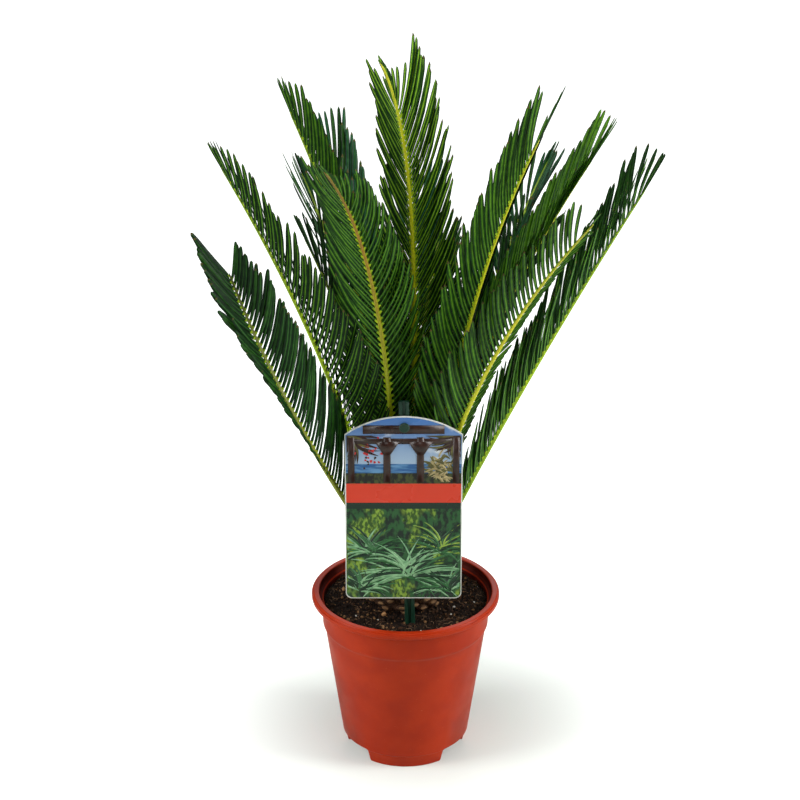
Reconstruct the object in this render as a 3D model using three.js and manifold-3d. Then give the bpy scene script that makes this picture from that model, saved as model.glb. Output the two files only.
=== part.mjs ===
// A young sago palm in its nursery pot: a round pot on three feet, the soil in it, the palm's
// short bulbous trunk, a crown of feathery fronds, and the plant label on its stick.
// Millimetres, +Z up. The pieces are worked out round the pot's axis. The whole plant is then
// shifted so that the origin is the bottom centre of its bounding box.
import * as THREE from 'three';
import { mergeVertices } from 'three/addons/utils/BufferGeometryUtils.js';
import Module from 'manifold-3d';

const wasm = await Module();
wasm.setup();

// ---------------------------------------------------------------- driving dimensions

const GAP = 0.3; // clearance between pieces that touch in life

const POT = {
  height: 137,
  rimRadius: 75, // outer edge of the rolled lip
  lipInner: 69, // inner edge of the lip
  lipHeight: 5.3,
  collarRadius: 66.5, // the straight band under the lip
  collarHeight: 24, // from the top of the pot to the collar's lower edge
  collarStep: 9, // height over which the collar steps in to the body
  bodyRadius: 64, // the tapered body's radius just under that step
  footTopRadius: 50.8,
  footRadius: 46.8, // the foot's outer radius on the ground
  footHeight: 12,
  ring: 2, // the width of the flat ring that the feet stand on
  floorHeight: 13, // underside of the pot's floor
  wall: 1.5,
  sides: 44,
};

// Three arches are cut through the foot, so that the pot stands on three feet.
const NOTCH = { angles: [90, 210, 330], halfWidth: 17.5, height: 11.5, corner: 5, from: 20, to: 60 };
const DRAIN = { count: 6, radius: 4.5, circle: 28, sides: 10 };

const SOIL = { top: 129, edgeDrop: 2, edgeWidth: 7, sides: 40 };

const TRUNK = {
  footRadius: 27,
  radius: 31,
  height: 39,
  sides: 24,
  // the bulb's outline: [share of the height, share of the radius]
  outline: [[0.14, 0.96], [0.3, 1], [0.5, 0.99], [0.68, 0.92], [0.82, 0.78], [0.92, 0.58], [0.98, 0.3]],
};

const CARD = { width: 90, height: 156, bottom: 153, arch: 15, corner: 5, thickness: 1, x: -1.6, y: -45 };

const STICK = {
  width: 8,
  depth: 4,
  groove: 1.4, // depth of the channel down the front face
  grooveWidth: 3.2,
  grooveSlope: 0.5, // how much narrower the channel is at its floor, on each side
  bottom: 88,
  top: 320,
  x: 3.5, // at the soil
  lean: 1.54, // degrees to the left
};

const BUTTON = { height: 300, radius: 4, thickness: 2, pegRadius: 2, bevel: 0.5 };

const LEAF = {
  pairs: 20, // leaflet pairs on each frond
  length: 70, // the longest leaflets
  start: 0.14, // where the lowest leaflets stand, as a share of the frond
  footShare: 0.5, // the lowest leaflets' length, as a share of the longest
  footGrowth: 2.2, // how fast they lengthen along the frond
  bundle: [0.83, 0.9], // between these shares of the row the leaflets close up along the rib
  closed: 0.45, // to this share of their angle
  fade: [0.72, 0.6], // and shorten by the first share, sooner for a smaller second number
  least: 9, // shorter leaflets are left out
  vee: 38, // degrees that the two rows are folded up from flat
  base: [50, 34], // degrees from the rib where a leaflet leaves it: lowest, topmost
  ends: [27, 17], // degrees from the rib at the leaflet's own tip: lowest, topmost
  width: 8.5, // at half length, where there is room
  spread: 0.8, // the share of the room between two leaflets that one takes up
  thickness: 1.3,
  steps: 8, // steps along a leaflet's curve
  clearance: 0.8, // room that a leaflet keeps to its neighbours
  reaches: [1, 0.8, 0.6, 0.42], // the shares of its length that are tried where room is short
};

const RIB = {
  baseWidth: 6,
  width: 4.2, // from the lowest leaflets on
  tipWidth: 1.6,
  baseDepth: 4.6,
  tipDepth: 1.6,
  sunk: 7, // how far a frond's foot reaches down into the crown
  dip: 2, // how far under the crown's top the fronds leave it
  strides: 240, // the steps that its curve is added up in
};

// Each frond leaves the crown at the angle `at`, `out` mm from the crown's middle. It heads for
// `azimuth` (0 is +X, 90 is +Y, all in degrees), climbs at `rise` at its foot and at `tip` at its
// end, with `bow` saying how late it bends. `sweep` turns the heading along the frond, `roll`
// turns the blade about its rib, and `twist` adds to that roll towards the tip. A frond may have
// its own `vee`, `base`, `ends`, `bundle` and `fade` and its own longest `leaf`. `rows` scales the
// leaflets' length on its right and on its left, each from the frond's foot to its end. `open`
// scales their angles, from foot to end, and `flare` does so for the right and the left row.
const FRONDS = {
  frond_left_low: {
    at: -150, out: 16.5, azimuth: -140, sweep: -25, rise: 55.5, tip: 72, length: 303, roll: 20,
    twist: 68, vee: 37, open: [1, 1.2], rows: [[1.1, 0.66], [-0.2, 1.05]], bundle: [0.8, 1.5],
    fade: [0.3, 0.8],
  },
  frond_left_outer: {
    at: -173, out: 17, azimuth: -165, rise: 82, tip: 62, bow: 0.7, length: 361, roll: -12,
    open: [1.3, 0.72], rows: [[1.08, 0.62], [1.2, 0.6]], bundle: [0.9, 0.97], fade: [0.5, 1],
  },
  frond_left_tall: {
    at: -150, out: 8, azimuth: -158, sweep: 3, rise: 88.8, tip: 66.6, length: 393, roll: -10,
    open: [0.7, 0.7], rows: [[1, 0.72], [1, 0.72]], bundle: [0.92, 1], fade: [0.5, 1],
  },
  frond_left_inner: {
    at: 165, out: 20, azimuth: 174, rise: 92, tip: 64, length: 276, roll: -10,
  },
  frond_back_left: {
    at: 137, out: 15, azimuth: 128, rise: 87, tip: 50, length: 314,
  },
  frond_back_left_tall: {
    at: 112, out: 15, azimuth: 110, sweep: 18, rise: 84.6, tip: 52, length: 354, open: [0.7, 0.7],
    rows: [[0.9, 0.9], [0.7, 0.55]],
  },
  frond_back_inner: {
    at: 100, out: 5, azimuth: 74, rise: 88, tip: 46, length: 262, leaf: 60,
  },
  frond_back_tall: {
    at: 82, out: 17, azimuth: 88, rise: 80, tip: 34, length: 320, leaf: 60,
  },
  frond_back_right: {
    at: 55, out: 20, azimuth: 54, rise: 78, tip: 32, length: 275, leaf: 60,
  },
  frond_back_right_tall: {
    at: 36, out: 13, azimuth: 42, rise: 78.1, tip: 53, length: 330, rows: [[1, 1], [0.75, 0.9]],
  },
  frond_right_back: {
    at: 22, out: 21, azimuth: 31, rise: 83, tip: 50, length: 276,
  },
  frond_right_inner: {
    at: 2, out: 14, azimuth: 0, sweep: 14, rise: 82, tip: 55.6, length: 354, open: [0.8, 0.6],
    rows: [[0.9, 0.8], [0.8, 0.75]], bundle: [0.95, 1], fade: [0.5, 1],
  },
  frond_right_outer: {
    at: -11, out: 20, azimuth: -12, sweep: 14, rise: 66.6, tip: 60, length: 354, leaf: 76,
    open: [0.72, 1.2], rows: [[1.2, 0.68], [0.78, 0.72]], bundle: [0.92, 0.98], fade: [0.5, 1],
  },
  frond_right_tall: {
    at: -32, out: 12, azimuth: -34, sweep: 22, rise: 80, tip: 64.8, bow: 2.3, length: 375,
    roll: 6, twist: 18, vee: 22, base: [50, 36], ends: [24, 13],
    rows: [[0.85, 1.08], [0.8, 0.86]], bundle: [0.95, 0.97], fade: [0.8, 0.3],
  },
  frond_front_right: {
    at: -52, out: 18, azimuth: -37, sweep: 4, rise: 79.8, tip: 50.6, length: 352, roll: 30,
    vee: 14, base: [46, 40], ends: [20, 26], rows: [[0.95, 0.64], [0.27, 0.24]],
    bundle: [0.92, 0.95],
  },
  frond_front_tall: {
    at: 0, out: 6, azimuth: -100, sweep: -15, rise: 91.6, tip: 48, bow: 3.4, length: 436,
    roll: -8, leaf: 66, base: [48, 25], ends: [26, 10], flare: [1.45, 1.05],
    rows: [[1, 0.72], [1.18, 1.04]], bundle: [0.85, 0.9], fade: [0.85, 0.3],
  },
  frond_front_left: {
    at: -112, out: 14, azimuth: -113, rise: 85, tip: 40, bow: 2.1, length: 400, roll: -12,
    vee: 27, base: [62, 40], ends: [30, -6], flare: [1.25, 1], rows: [[1, 0.84], [1, 0.62]],
  },
};

// ---------------------------------------------------------------- materials

const plastic = (color, roughness) => new THREE.MeshStandardMaterial({ color, roughness, metalness: 0 });

const MATERIALS = {
  terracotta: plastic(0xb5482a, 0.45),
  peat: plastic(0x2a1c12, 0.95),
  bark: plastic(0x6a4a2c, 0.9),
  leaf: plastic(0x2f6b22, 0.5),
  card: plastic(0x7d8f6a, 0.4),
  stick: plastic(0x14382a, 0.45),
};

// ---------------------------------------------------------------- helpers

const degrees = THREE.MathUtils.degToRad;
const mix = THREE.MathUtils.lerp;

// A closed three.js geometry as a manifold solid, for joining and cutting.
function toSolid(geometry) {
  const bare = geometry.clone();
  bare.deleteAttribute('normal');
  bare.deleteAttribute('uv');
  const merged = mergeVertices(bare, 1e-4);
  const mesh = new wasm.Mesh({
    numProp: 3,
    vertProperties: new Float32Array(merged.attributes.position.array),
    triVerts: new Uint32Array(merged.index.array),
  });
  return new wasm.Manifold(mesh);
}

function toGeometry(solid) {
  const { vertProperties, triVerts } = solid.getMesh();
  const geometry = new THREE.BufferGeometry();
  geometry.setAttribute('position', new THREE.BufferAttribute(new Float32Array(vertProperties), 3));
  geometry.setIndex(new THREE.BufferAttribute(new Uint32Array(triVerts), 1));
  return geometry;
}

// A solid of revolution about Z from [radius, height] pairs, listed upwards on the outside.
function revolve(profile, sides) {
  const points = profile.map(([r, z]) => new THREE.Vector2(Math.max(r, 0), z));
  return new THREE.LatheGeometry(points, sides).rotateX(Math.PI / 2);
}

// Points on a rounded corner from one [r, z] to another, bulging towards the corner point.
function rounded(from, corner, to, steps = 3) {
  const curve = new THREE.QuadraticBezierCurve(
    new THREE.Vector2(...from), new THREE.Vector2(...corner), new THREE.Vector2(...to));
  return curve.getPoints(steps).map((p) => [p.x, p.y]);
}

function part(name, geometry, material) {
  const mesh = new THREE.Mesh(geometry, material);
  mesh.name = name;
  return mesh;
}

// ---------------------------------------------------------------- pot

const collarFoot = POT.height - POT.collarHeight;
const bodyTop = collarFoot - POT.collarStep;
const lipFoot = POT.height - POT.lipHeight;
const innerFoot = POT.footTopRadius - POT.wall;
const innerCollar = POT.collarRadius - POT.wall;

function potShell() {
  const { height, wall, floorHeight, footHeight, footRadius, footTopRadius } = POT;
  const { bodyRadius, collarRadius, rimRadius, lipInner, ring } = POT;
  const outside = [
    [footRadius - ring, 0],
    [footRadius, 0],
    [footTopRadius - 0.8, footHeight - 0.8],
    [footTopRadius, footHeight],
    [bodyRadius, bodyTop],
    ...rounded([bodyRadius + 0.6, bodyTop + 3], [collarRadius, collarFoot - 3], [collarRadius, collarFoot]),
    [collarRadius, lipFoot - 2],
    [collarRadius + 0.8, lipFoot - 0.3],
    [collarRadius + 2.5, lipFoot],
    ...rounded([rimRadius - 1.2, lipFoot], [rimRadius, lipFoot], [rimRadius, lipFoot + 1.4], 2),
    ...rounded([rimRadius, lipFoot + 2.4], [rimRadius - 0.4, height], [rimRadius - 2.6, height]),
    ...rounded([lipInner + 1.6, height], [lipInner, height], [lipInner, height - 1.4], 2),
  ];
  const inside = [
    [lipInner - 1, lipFoot + 0.6],
    [innerCollar, lipFoot - 3],
    [innerCollar, collarFoot],
    [bodyRadius - wall, bodyTop],
    [innerFoot, floorHeight + wall + 1],
    [innerFoot - 2, floorHeight + wall],
    [0, floorHeight + wall],
  ];
  const underside = [
    [0, floorHeight],
    [innerFoot - 3, floorHeight],
    [footRadius - ring, 0],
  ];
  return revolve([...outside, ...inside, ...underside], POT.sides);
}

// The arch that is cut through the foot between two feet, as a bar that runs outwards along +X.
function notchBar(angle) {
  const { halfWidth, height, corner, from, to } = NOTCH;
  const shoulder = height - 2; // where the arch's side turns into its crown
  const outline = new THREE.Shape();
  outline.moveTo(-halfWidth - 1, -2);
  outline.lineTo(halfWidth + 1, -2);
  outline.lineTo(halfWidth, shoulder - corner);
  outline.quadraticCurveTo(halfWidth, shoulder, halfWidth - corner, height - 1);
  outline.quadraticCurveTo(0, height + 0.8, -halfWidth + corner, height - 1);
  outline.quadraticCurveTo(-halfWidth, shoulder, -halfWidth, shoulder - corner);
  outline.closePath();
  const bar = new THREE.ExtrudeGeometry(outline, { depth: to - from, bevelEnabled: false, curveSegments: 4 });
  bar.rotateX(Math.PI / 2).rotateZ(Math.PI / 2); // the extrusion now runs along +X
  bar.translate(from, 0, 0);
  return bar.rotateZ(degrees(angle));
}

function drainHole(index) {
  const angle = degrees((360 * index) / DRAIN.count);
  const depth = POT.wall * 4;
  const hole = new THREE.CylinderGeometry(DRAIN.radius, DRAIN.radius, depth, DRAIN.sides);
  hole.rotateX(Math.PI / 2);
  return hole.translate(DRAIN.circle * Math.cos(angle), DRAIN.circle * Math.sin(angle), POT.floorHeight);
}

function potSolid() {
  let pot = toSolid(potShell());
  for (const angle of NOTCH.angles) {
    pot = pot.subtract(toSolid(notchBar(angle)));
  }
  for (let i = 0; i < DRAIN.count; i += 1) {
    pot = pot.subtract(toSolid(drainHole(i)));
  }
  return pot;
}

// ---------------------------------------------------------------- soil, trunk, label

// The stick as a bar that leans a little to the left. The one that cuts the soil's slot is `grow`
// larger all round and has no channel down its front.
function stickBar(grow) {
  const half = STICK.width / 2 + grow;
  const channel = STICK.grooveWidth / 2;
  const channelFloor = channel - STICK.grooveSlope;
  const front = -grow;
  const back = STICK.depth + grow;
  const outline = new THREE.Shape();
  outline.moveTo(-half, back);
  outline.lineTo(-half, front);
  if (grow === 0) {
    outline.lineTo(-channel, front);
    outline.lineTo(-channelFloor, front + STICK.groove);
    outline.lineTo(channelFloor, front + STICK.groove);
    outline.lineTo(channel, front);
  }
  outline.lineTo(half, front);
  outline.lineTo(half, back);
  outline.closePath();
  const height = STICK.top - STICK.bottom + grow;
  const bar = new THREE.ExtrudeGeometry(outline, { depth: height, bevelEnabled: false });
  bar.translate(0, 0, STICK.bottom - SOIL.top - grow);
  bar.rotateY(degrees(-STICK.lean));
  return bar.translate(STICK.x, CARD.y + CARD.thickness / 2 + GAP, SOIL.top);
}

function soilSolid() {
  const floor = POT.floorHeight + POT.wall + GAP;
  const edge = SOIL.top - SOIL.edgeDrop;
  const profile = [
    [0, floor],
    [innerFoot - 3, floor],
    [innerFoot - GAP, floor + 2],
    [POT.bodyRadius - POT.wall - GAP, bodyTop],
    [innerCollar - GAP, collarFoot + 1],
    [innerCollar - GAP, edge - 1],
    [innerCollar - 1.5, edge],
    [innerCollar - SOIL.edgeWidth, SOIL.top],
    [0, SOIL.top],
  ];
  return toSolid(revolve(profile, SOIL.sides)).subtract(toSolid(stickBar(GAP)));
}

// The bulb: a swollen foot that closes over in a blunt crown. It is `grow` larger all round.
function trunkShape(grow) {
  const { footRadius, radius, height, sides, outline } = TRUNK;
  const ground = SOIL.top + GAP;
  const wall = outline.map(([up, across]) => [radius * across + grow, ground + height * up + grow]);
  const foot = [[0, ground - grow], [footRadius + grow, ground - grow]];
  return revolve([...foot, ...wall, [0, ground + height + grow]], sides);
}

// The label: a thin card with rounded lower corners and an arched top, and a hole for the peg.
function cardSolid() {
  const { width, height, arch, corner, bottom, x, y, thickness } = CARD;
  const half = width / 2;
  const top = bottom + height;
  const outline = new THREE.Shape();
  outline.moveTo(-half + corner, bottom);
  outline.lineTo(half - corner, bottom);
  outline.quadraticCurveTo(half, bottom, half, bottom + corner);
  outline.lineTo(half, top - arch);
  const archRadius = (half * half + arch * arch) / (2 * arch);
  const reach = Math.asin(half / archRadius);
  outline.absarc(0, top - archRadius, archRadius, Math.PI / 2 - reach, Math.PI / 2 + reach, false);
  outline.lineTo(-half, bottom + corner);
  outline.quadraticCurveTo(-half, bottom, -half + corner, bottom);
  const hole = new THREE.Path();
  hole.absarc(buttonX() - x, BUTTON.height, BUTTON.pegRadius + GAP, 0, 2 * Math.PI, true);
  outline.holes.push(hole);
  const sheet = { depth: thickness, bevelEnabled: false, curveSegments: 7 };
  const card = new THREE.ExtrudeGeometry(outline, sheet);
  card.rotateX(Math.PI / 2); // the outline now stands up, and its thickness runs towards -Y
  return toSolid(card.translate(x, y + thickness / 2, 0));
}

// Where the leaning stick's middle is at the button's height.
function buttonX() {
  return STICK.x - (BUTTON.height - SOIL.top) * Math.tan(degrees(STICK.lean));
}

// The stick's peg goes through the card and ends in a flat button in front of it.
function stickSolid() {
  const front = CARD.y - CARD.thickness / 2 - GAP;
  const back = CARD.y + CARD.thickness / 2 + GAP + STICK.groove + 1;
  const { radius, thickness, pegRadius, bevel, height } = BUTTON;
  const peg = new THREE.CylinderGeometry(pegRadius, pegRadius, back - front + 1, 12);
  peg.translate(buttonX(), (back + front - 1) / 2, height);
  const button = new THREE.CylinderGeometry(radius, radius - bevel, thickness, 16);
  button.translate(buttonX(), front - thickness / 2, height);
  return toSolid(stickBar(0)).add(toSolid(peg)).add(toSolid(button));
}

// ---------------------------------------------------------------- fronds

// The rib's curve: its heading and climb change evenly along it, and its points add up the
// headings step by step. Each station holds a point, the way along the rib, the way sideways to
// the right of it, and the way out of the blade's upper face.
function ribStations(spec, shares) {
  const { azimuth, sweep = 0, rise, tip, bow = 1, roll = 0, twist = 0 } = spec;
  const heading = (share) => {
    const turn = degrees(azimuth + sweep * share);
    const climb = degrees(rise + (tip - rise) * share ** bow);
    const along = new THREE.Vector3(
      Math.cos(turn) * Math.cos(climb), Math.sin(turn) * Math.cos(climb), Math.sin(climb));
    const flat = new THREE.Vector3(Math.sin(turn), -Math.cos(turn), 0);
    const rolled = degrees(roll + twist * share);
    const above = new THREE.Vector3().crossVectors(flat, along);
    const right = flat.clone().multiplyScalar(Math.cos(rolled)).addScaledVector(above, Math.sin(rolled));
    const up = above.multiplyScalar(Math.cos(rolled)).addScaledVector(flat, -Math.sin(rolled));
    return { along, right, up };
  };
  const start = degrees(spec.at);
  const crown = SOIL.top + GAP + TRUNK.height - RIB.dip;
  const point = new THREE.Vector3(Math.cos(start) * spec.out, Math.sin(start) * spec.out, crown);
  point.addScaledVector(heading(0).along, -RIB.sunk);
  const full = spec.length + RIB.sunk;
  const stride = 1 / RIB.strides;
  let walked = 0;
  return shares.map((share) => {
    while (walked < share - stride / 2) {
      point.addScaledVector(heading(walked + stride / 2).along, full * stride);
      walked += stride;
    }
    return { share, point: point.clone(), ...heading(share) };
  });
}

// The share of its full angle that a leaflet opens to, less and less towards the frond's end.
function leafletShut(spec, side, progress) {
  const { open = [1, 1], flare = [1, 1], bundle: [low, high] = LEAF.bundle } = spec;
  const late = Math.min(Math.max((progress - low) / (high - low), 0), 1);
  return mix(...open, progress) * flare[side > 0 ? 0 : 1] * mix(1, LEAF.closed, late);
}

// A leaflet leaves the rib at one angle and bends towards the rib's own direction. It returns
// the middle of the leaflet at half its length and at its tip, with its angle, the way across it
// and the way out of its face at half length.
function leafletCurve(spec, station, side, progress, length) {
  const vee = degrees(spec.vee ?? LEAF.vee);
  const sideways = station.right.clone().multiplyScalar(side * Math.cos(vee));
  sideways.addScaledVector(station.up, Math.sin(vee));
  const shut = leafletShut(spec, side, progress);
  const from = degrees(mix(...(spec.base ?? LEAF.base), progress) * shut);
  const to = degrees(mix(...(spec.ends ?? LEAF.ends), progress) * shut);
  const point = station.point.clone();
  const result = {};
  for (let i = 0; i < LEAF.steps; i += 1) {
    const angle = mix(from, to, (i + 0.5) / LEAF.steps);
    const blend = (a, s) => station.along.clone().multiplyScalar(a).addScaledVector(sideways, s);
    const way = blend(Math.cos(angle), Math.sin(angle));
    point.addScaledVector(way, length / LEAF.steps);
    if (i === LEAF.steps / 2 - 1) {
      result.angle = angle;
      result.middle = point.clone();
      result.across = blend(Math.sin(angle), -Math.cos(angle));
      result.out = new THREE.Vector3().crossVectors(way, result.across).multiplyScalar(side);
    }
  }
  result.tip = point;
  return result;
}

// Leaflets are shorter at the foot of the frond, full length by its lower third, and taper off
// over the last part. Each row has its own share of that length.
function leafletLength(spec, side, progress) {
  const { rows = [[1, 1], [1, 1]], bundle: [low] = LEAF.bundle, fade: [loss, power] = LEAF.fade } = spec;
  const foot = Math.min(1, LEAF.footShare + LEAF.footGrowth * progress);
  const late = Math.max(0, (progress - low) / (1 - low));
  const row = Math.max(0.02, mix(...rows[side > 0 ? 0 : 1], progress));
  return (spec.leaf ?? LEAF.length) * foot * row * (1 - loss * late ** power);
}

function midStation(a, b) {
  const middle = {};
  for (const key of ['point', 'along', 'right', 'up']) {
    middle[key] = a[key].clone().add(b[key]).multiplyScalar(0.5);
    if (key !== 'point') middle[key].normalize();
  }
  return middle;
}

function ribWidth(share) {
  if (share < LEAF.start) return mix(RIB.baseWidth, RIB.width, share / LEAF.start);
  return mix(RIB.width, RIB.tipWidth, (share - LEAF.start) / (1 - LEAF.start));
}

// A frond as lists of corner rings, so that the same shape serves the test of one leaflet
// against its neighbours and the finished blade.
function frondPlan(spec) {
  const shares = [0, RIB.sunk / (spec.length + RIB.sunk), LEAF.start];
  for (let i = 1; i <= LEAF.pairs; i += 1) {
    shares.push(mix(LEAF.start, 1, i / LEAF.pairs));
  }
  const stations = ribStations(spec, shares);
  const rings = stations.map(({ share, point, right, up }) => {
    const across = right.clone().multiplyScalar(ribWidth(share) / 2);
    const out = up.clone().multiplyScalar(mix(RIB.baseDepth, RIB.tipDepth, share) / 2);
    const corner = (x, z) => point.clone().addScaledVector(across, x).addScaledVector(out, z);
    return { right: [corner(1, 1), corner(1, -1)], left: [corner(-1, 1), corner(-1, -1)] };
  });
  const lowest = 2; // the station where the leaflets start
  const slots = [];
  for (let first = lowest; first < stations.length - 1; first += 1) {
    const progress = (first - lowest) / (LEAF.pairs - 1);
    const middle = midStation(stations[first], stations[first + 1]);
    for (const side of [1, -1]) {
      slots.push({ first, side, progress, middle, reach: 1 });
    }
  }
  return { spec, rings, slots };
}

const sideKey = (side) => (side > 0 ? 'right' : 'left');

// The rings of one leaflet: its foot on the rib's side, a ring at half length, and its tip. The
// rings run round the leaflet the same way. `grow` makes the outer ones larger all round.
function leafletRings(plan, slot, grow = 0) {
  const near = plan.rings[slot.first][sideKey(slot.side)];
  const far = plan.rings[slot.first + 1][sideKey(slot.side)];
  const foot = [near[0], far[0], far[1], near[1]];
  const length = leafletLength(plan.spec, slot.side, slot.progress) * slot.reach + grow;
  const curve = leafletCurve(plan.spec, slot.middle, slot.side, slot.progress, length);
  const room = foot[0].distanceTo(foot[1]) * Math.sin(curve.angle);
  const half = Math.min(LEAF.width, room * LEAF.spread) / 2 + grow;
  const thick = LEAF.thickness / 2 + grow;
  const at = (a, o) => {
    const point = curve.middle.clone().addScaledVector(curve.across, a * half);
    return point.addScaledVector(curve.out, o * thick);
  };
  return { foot, waist: [at(-1, 1), at(1, 1), at(1, -1), at(-1, -1)], tip: curve.tip };
}

// Triangles between corner points, written out in full. mergeVertices joins the shared corners.
class Skin {
  constructor() {
    this.numbers = [];
  }

  triangle(a, b, c, flip = false) {
    for (const p of flip ? [a, c, b] : [a, b, c]) {
      this.numbers.push(p.x, p.y, p.z);
    }
  }

  quad(a, b, c, d, flip = false) {
    this.triangle(a, b, c, flip);
    this.triangle(a, c, d, flip);
  }

  leaflet({ foot, waist, tip }, side) {
    const flip = side < 0;
    for (let i = 0; i < 4; i += 1) {
      const next = (i + 1) % 4;
      this.quad(foot[i], waist[i], waist[next], foot[next], flip);
      this.triangle(waist[i], tip, waist[next], flip);
    }
  }

  solid() {
    const geometry = new THREE.BufferGeometry();
    geometry.setAttribute('position', new THREE.Float32BufferAttribute(this.numbers, 3));
    return toSolid(geometry);
  }
}

// The closed skin of the rib. Where a slot holds a leaflet, the rib's side is left open for it.
function frondSolid(plan, withLeaflets) {
  const skin = new Skin();
  const open = new Set();
  if (withLeaflets) {
    for (const slot of plan.slots.filter(({ reach }) => reach > 0)) {
      skin.leaflet(leafletRings(plan, slot), slot.side);
      open.add(`${slot.first} ${slot.side}`);
    }
  }
  const { rings } = plan;
  for (let i = 0; i < rings.length - 1; i += 1) {
    const [a, b] = [rings[i], rings[i + 1]];
    skin.quad(a.left[0], a.right[0], b.right[0], b.left[0]);
    skin.quad(a.right[1], a.left[1], b.left[1], b.right[1]);
    if (!open.has(`${i} 1`)) skin.quad(a.right[0], a.right[1], b.right[1], b.right[0]);
    if (!open.has(`${i} -1`)) skin.quad(a.left[1], a.left[0], b.left[0], b.left[1]);
  }
  const [first, last] = [rings[0], rings[rings.length - 1]];
  skin.quad(first.left[1], first.right[1], first.right[0], first.left[0]);
  skin.quad(last.left[0], last.right[0], last.right[1], last.left[1]);
  return skin.solid();
}

// One leaflet as a closed solid, a little fat, to test what it would touch.
function leafletProbe(plan, slot) {
  const rings = leafletRings(plan, slot, LEAF.clearance);
  const skin = new Skin();
  skin.leaflet(rings, slot.side);
  skin.quad(rings.foot[0], rings.foot[1], rings.foot[2], rings.foot[3], slot.side < 0);
  return skin.solid();
}

function boxOf(solid) {
  const { min, max } = solid.boundingBox();
  return new THREE.Box3(new THREE.Vector3(...min), new THREE.Vector3(...max));
}

const obstacle = (solid) => ({ solid, box: boxOf(solid) });

function touches(probe, others) {
  const box = boxOf(probe);
  return others.some((other) => box.intersectsBox(other.box) && !probe.intersect(other.solid).isEmpty());
}

// Every leaflet is tried at full length and then shorter, and is left out where even its
// shortest form would touch another limb, the trunk, the label or its stick.
function trimLeaflets(plan, others) {
  for (const slot of plan.slots) {
    const length = leafletLength(plan.spec, slot.side, slot.progress);
    const fits = (reach) => length * reach > LEAF.least
      && !touches(leafletProbe(plan, { ...slot, reach }), others);
    slot.reach = LEAF.reaches.find(fits) ?? 0;
  }
}

// The fronds are made one after the other. Each keeps clear of the pieces in `fixed`, of the fronds
// before it and of the ribs of those to come, and its foot ends in the crown, clear of the trunk.
function makeFronds(fixed) {
  const plans = Object.entries(FRONDS).map(([name, spec]) => ({ name, ...frondPlan(spec) }));
  const ribs = plans.map((plan) => obstacle(frondSolid(plan, false)));
  const done = [];
  const crownRoom = toSolid(trunkShape(GAP));
  return plans.map((plan, index) => {
    trimLeaflets(plan, [...fixed, ...done, ...ribs.slice(index + 1)]);
    const blade = frondSolid(plan, true).subtract(crownRoom);
    done.push(obstacle(blade));
    return part(plan.name, toGeometry(blade), MATERIALS.leaf);
  });
}

// ---------------------------------------------------------------- assembly

const pot = potSolid();
const soil = soilSolid();
const card = cardSolid();
const stick = stickSolid();
const trunk = toSolid(trunkShape(0));

const plant = new THREE.Group();
plant.add(part('pot', toGeometry(pot), MATERIALS.terracotta));
plant.add(part('soil', toGeometry(soil), MATERIALS.peat));
plant.add(part('trunk', toGeometry(trunk), MATERIALS.bark));
plant.add(part('label_card', toGeometry(card), MATERIALS.card));
plant.add(part('label_stick', toGeometry(stick), MATERIALS.stick));
plant.add(...makeFronds([pot, soil, trunk, card, stick].map(obstacle)));

const bounds = new THREE.Box3().setFromObject(plant, true);
const middle = bounds.getCenter(new THREE.Vector3());
plant.position.set(-middle.x, -middle.y, -bounds.min.z);

export default plant;
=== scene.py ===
"""A young sago palm in its nursery pot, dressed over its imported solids.

Sizes are in millimetres round the pot's own axis, with Z up from the ground. make_piece() turns them
into metres and moves them to where the pot stands. Every shape is worked out with numpy, either as
rings of points that are joined up, or as many copies of one small form.
"""

import bpy
import numpy as np
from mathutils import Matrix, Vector


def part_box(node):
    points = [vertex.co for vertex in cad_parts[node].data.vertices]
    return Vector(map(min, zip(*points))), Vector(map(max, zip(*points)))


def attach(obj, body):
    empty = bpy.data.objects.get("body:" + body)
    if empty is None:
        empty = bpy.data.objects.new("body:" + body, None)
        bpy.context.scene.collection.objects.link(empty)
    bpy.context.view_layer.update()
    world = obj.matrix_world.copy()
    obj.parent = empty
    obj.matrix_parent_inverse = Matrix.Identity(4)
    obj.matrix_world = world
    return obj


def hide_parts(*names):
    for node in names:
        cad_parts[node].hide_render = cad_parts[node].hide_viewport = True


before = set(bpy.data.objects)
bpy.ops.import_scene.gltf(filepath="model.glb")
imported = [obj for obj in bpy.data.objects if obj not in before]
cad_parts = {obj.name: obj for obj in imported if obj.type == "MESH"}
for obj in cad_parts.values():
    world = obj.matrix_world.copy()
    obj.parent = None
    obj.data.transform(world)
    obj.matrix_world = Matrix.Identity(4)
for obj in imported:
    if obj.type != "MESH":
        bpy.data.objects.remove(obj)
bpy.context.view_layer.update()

pot_low, pot_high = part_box("pot")
AXIS = np.array([(pot_low.x + pot_high.x) / 2, (pot_low.y + pot_high.y) / 2, 0.0])

# ---------------------------------------------------------------- sizes, in mm and degrees

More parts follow.
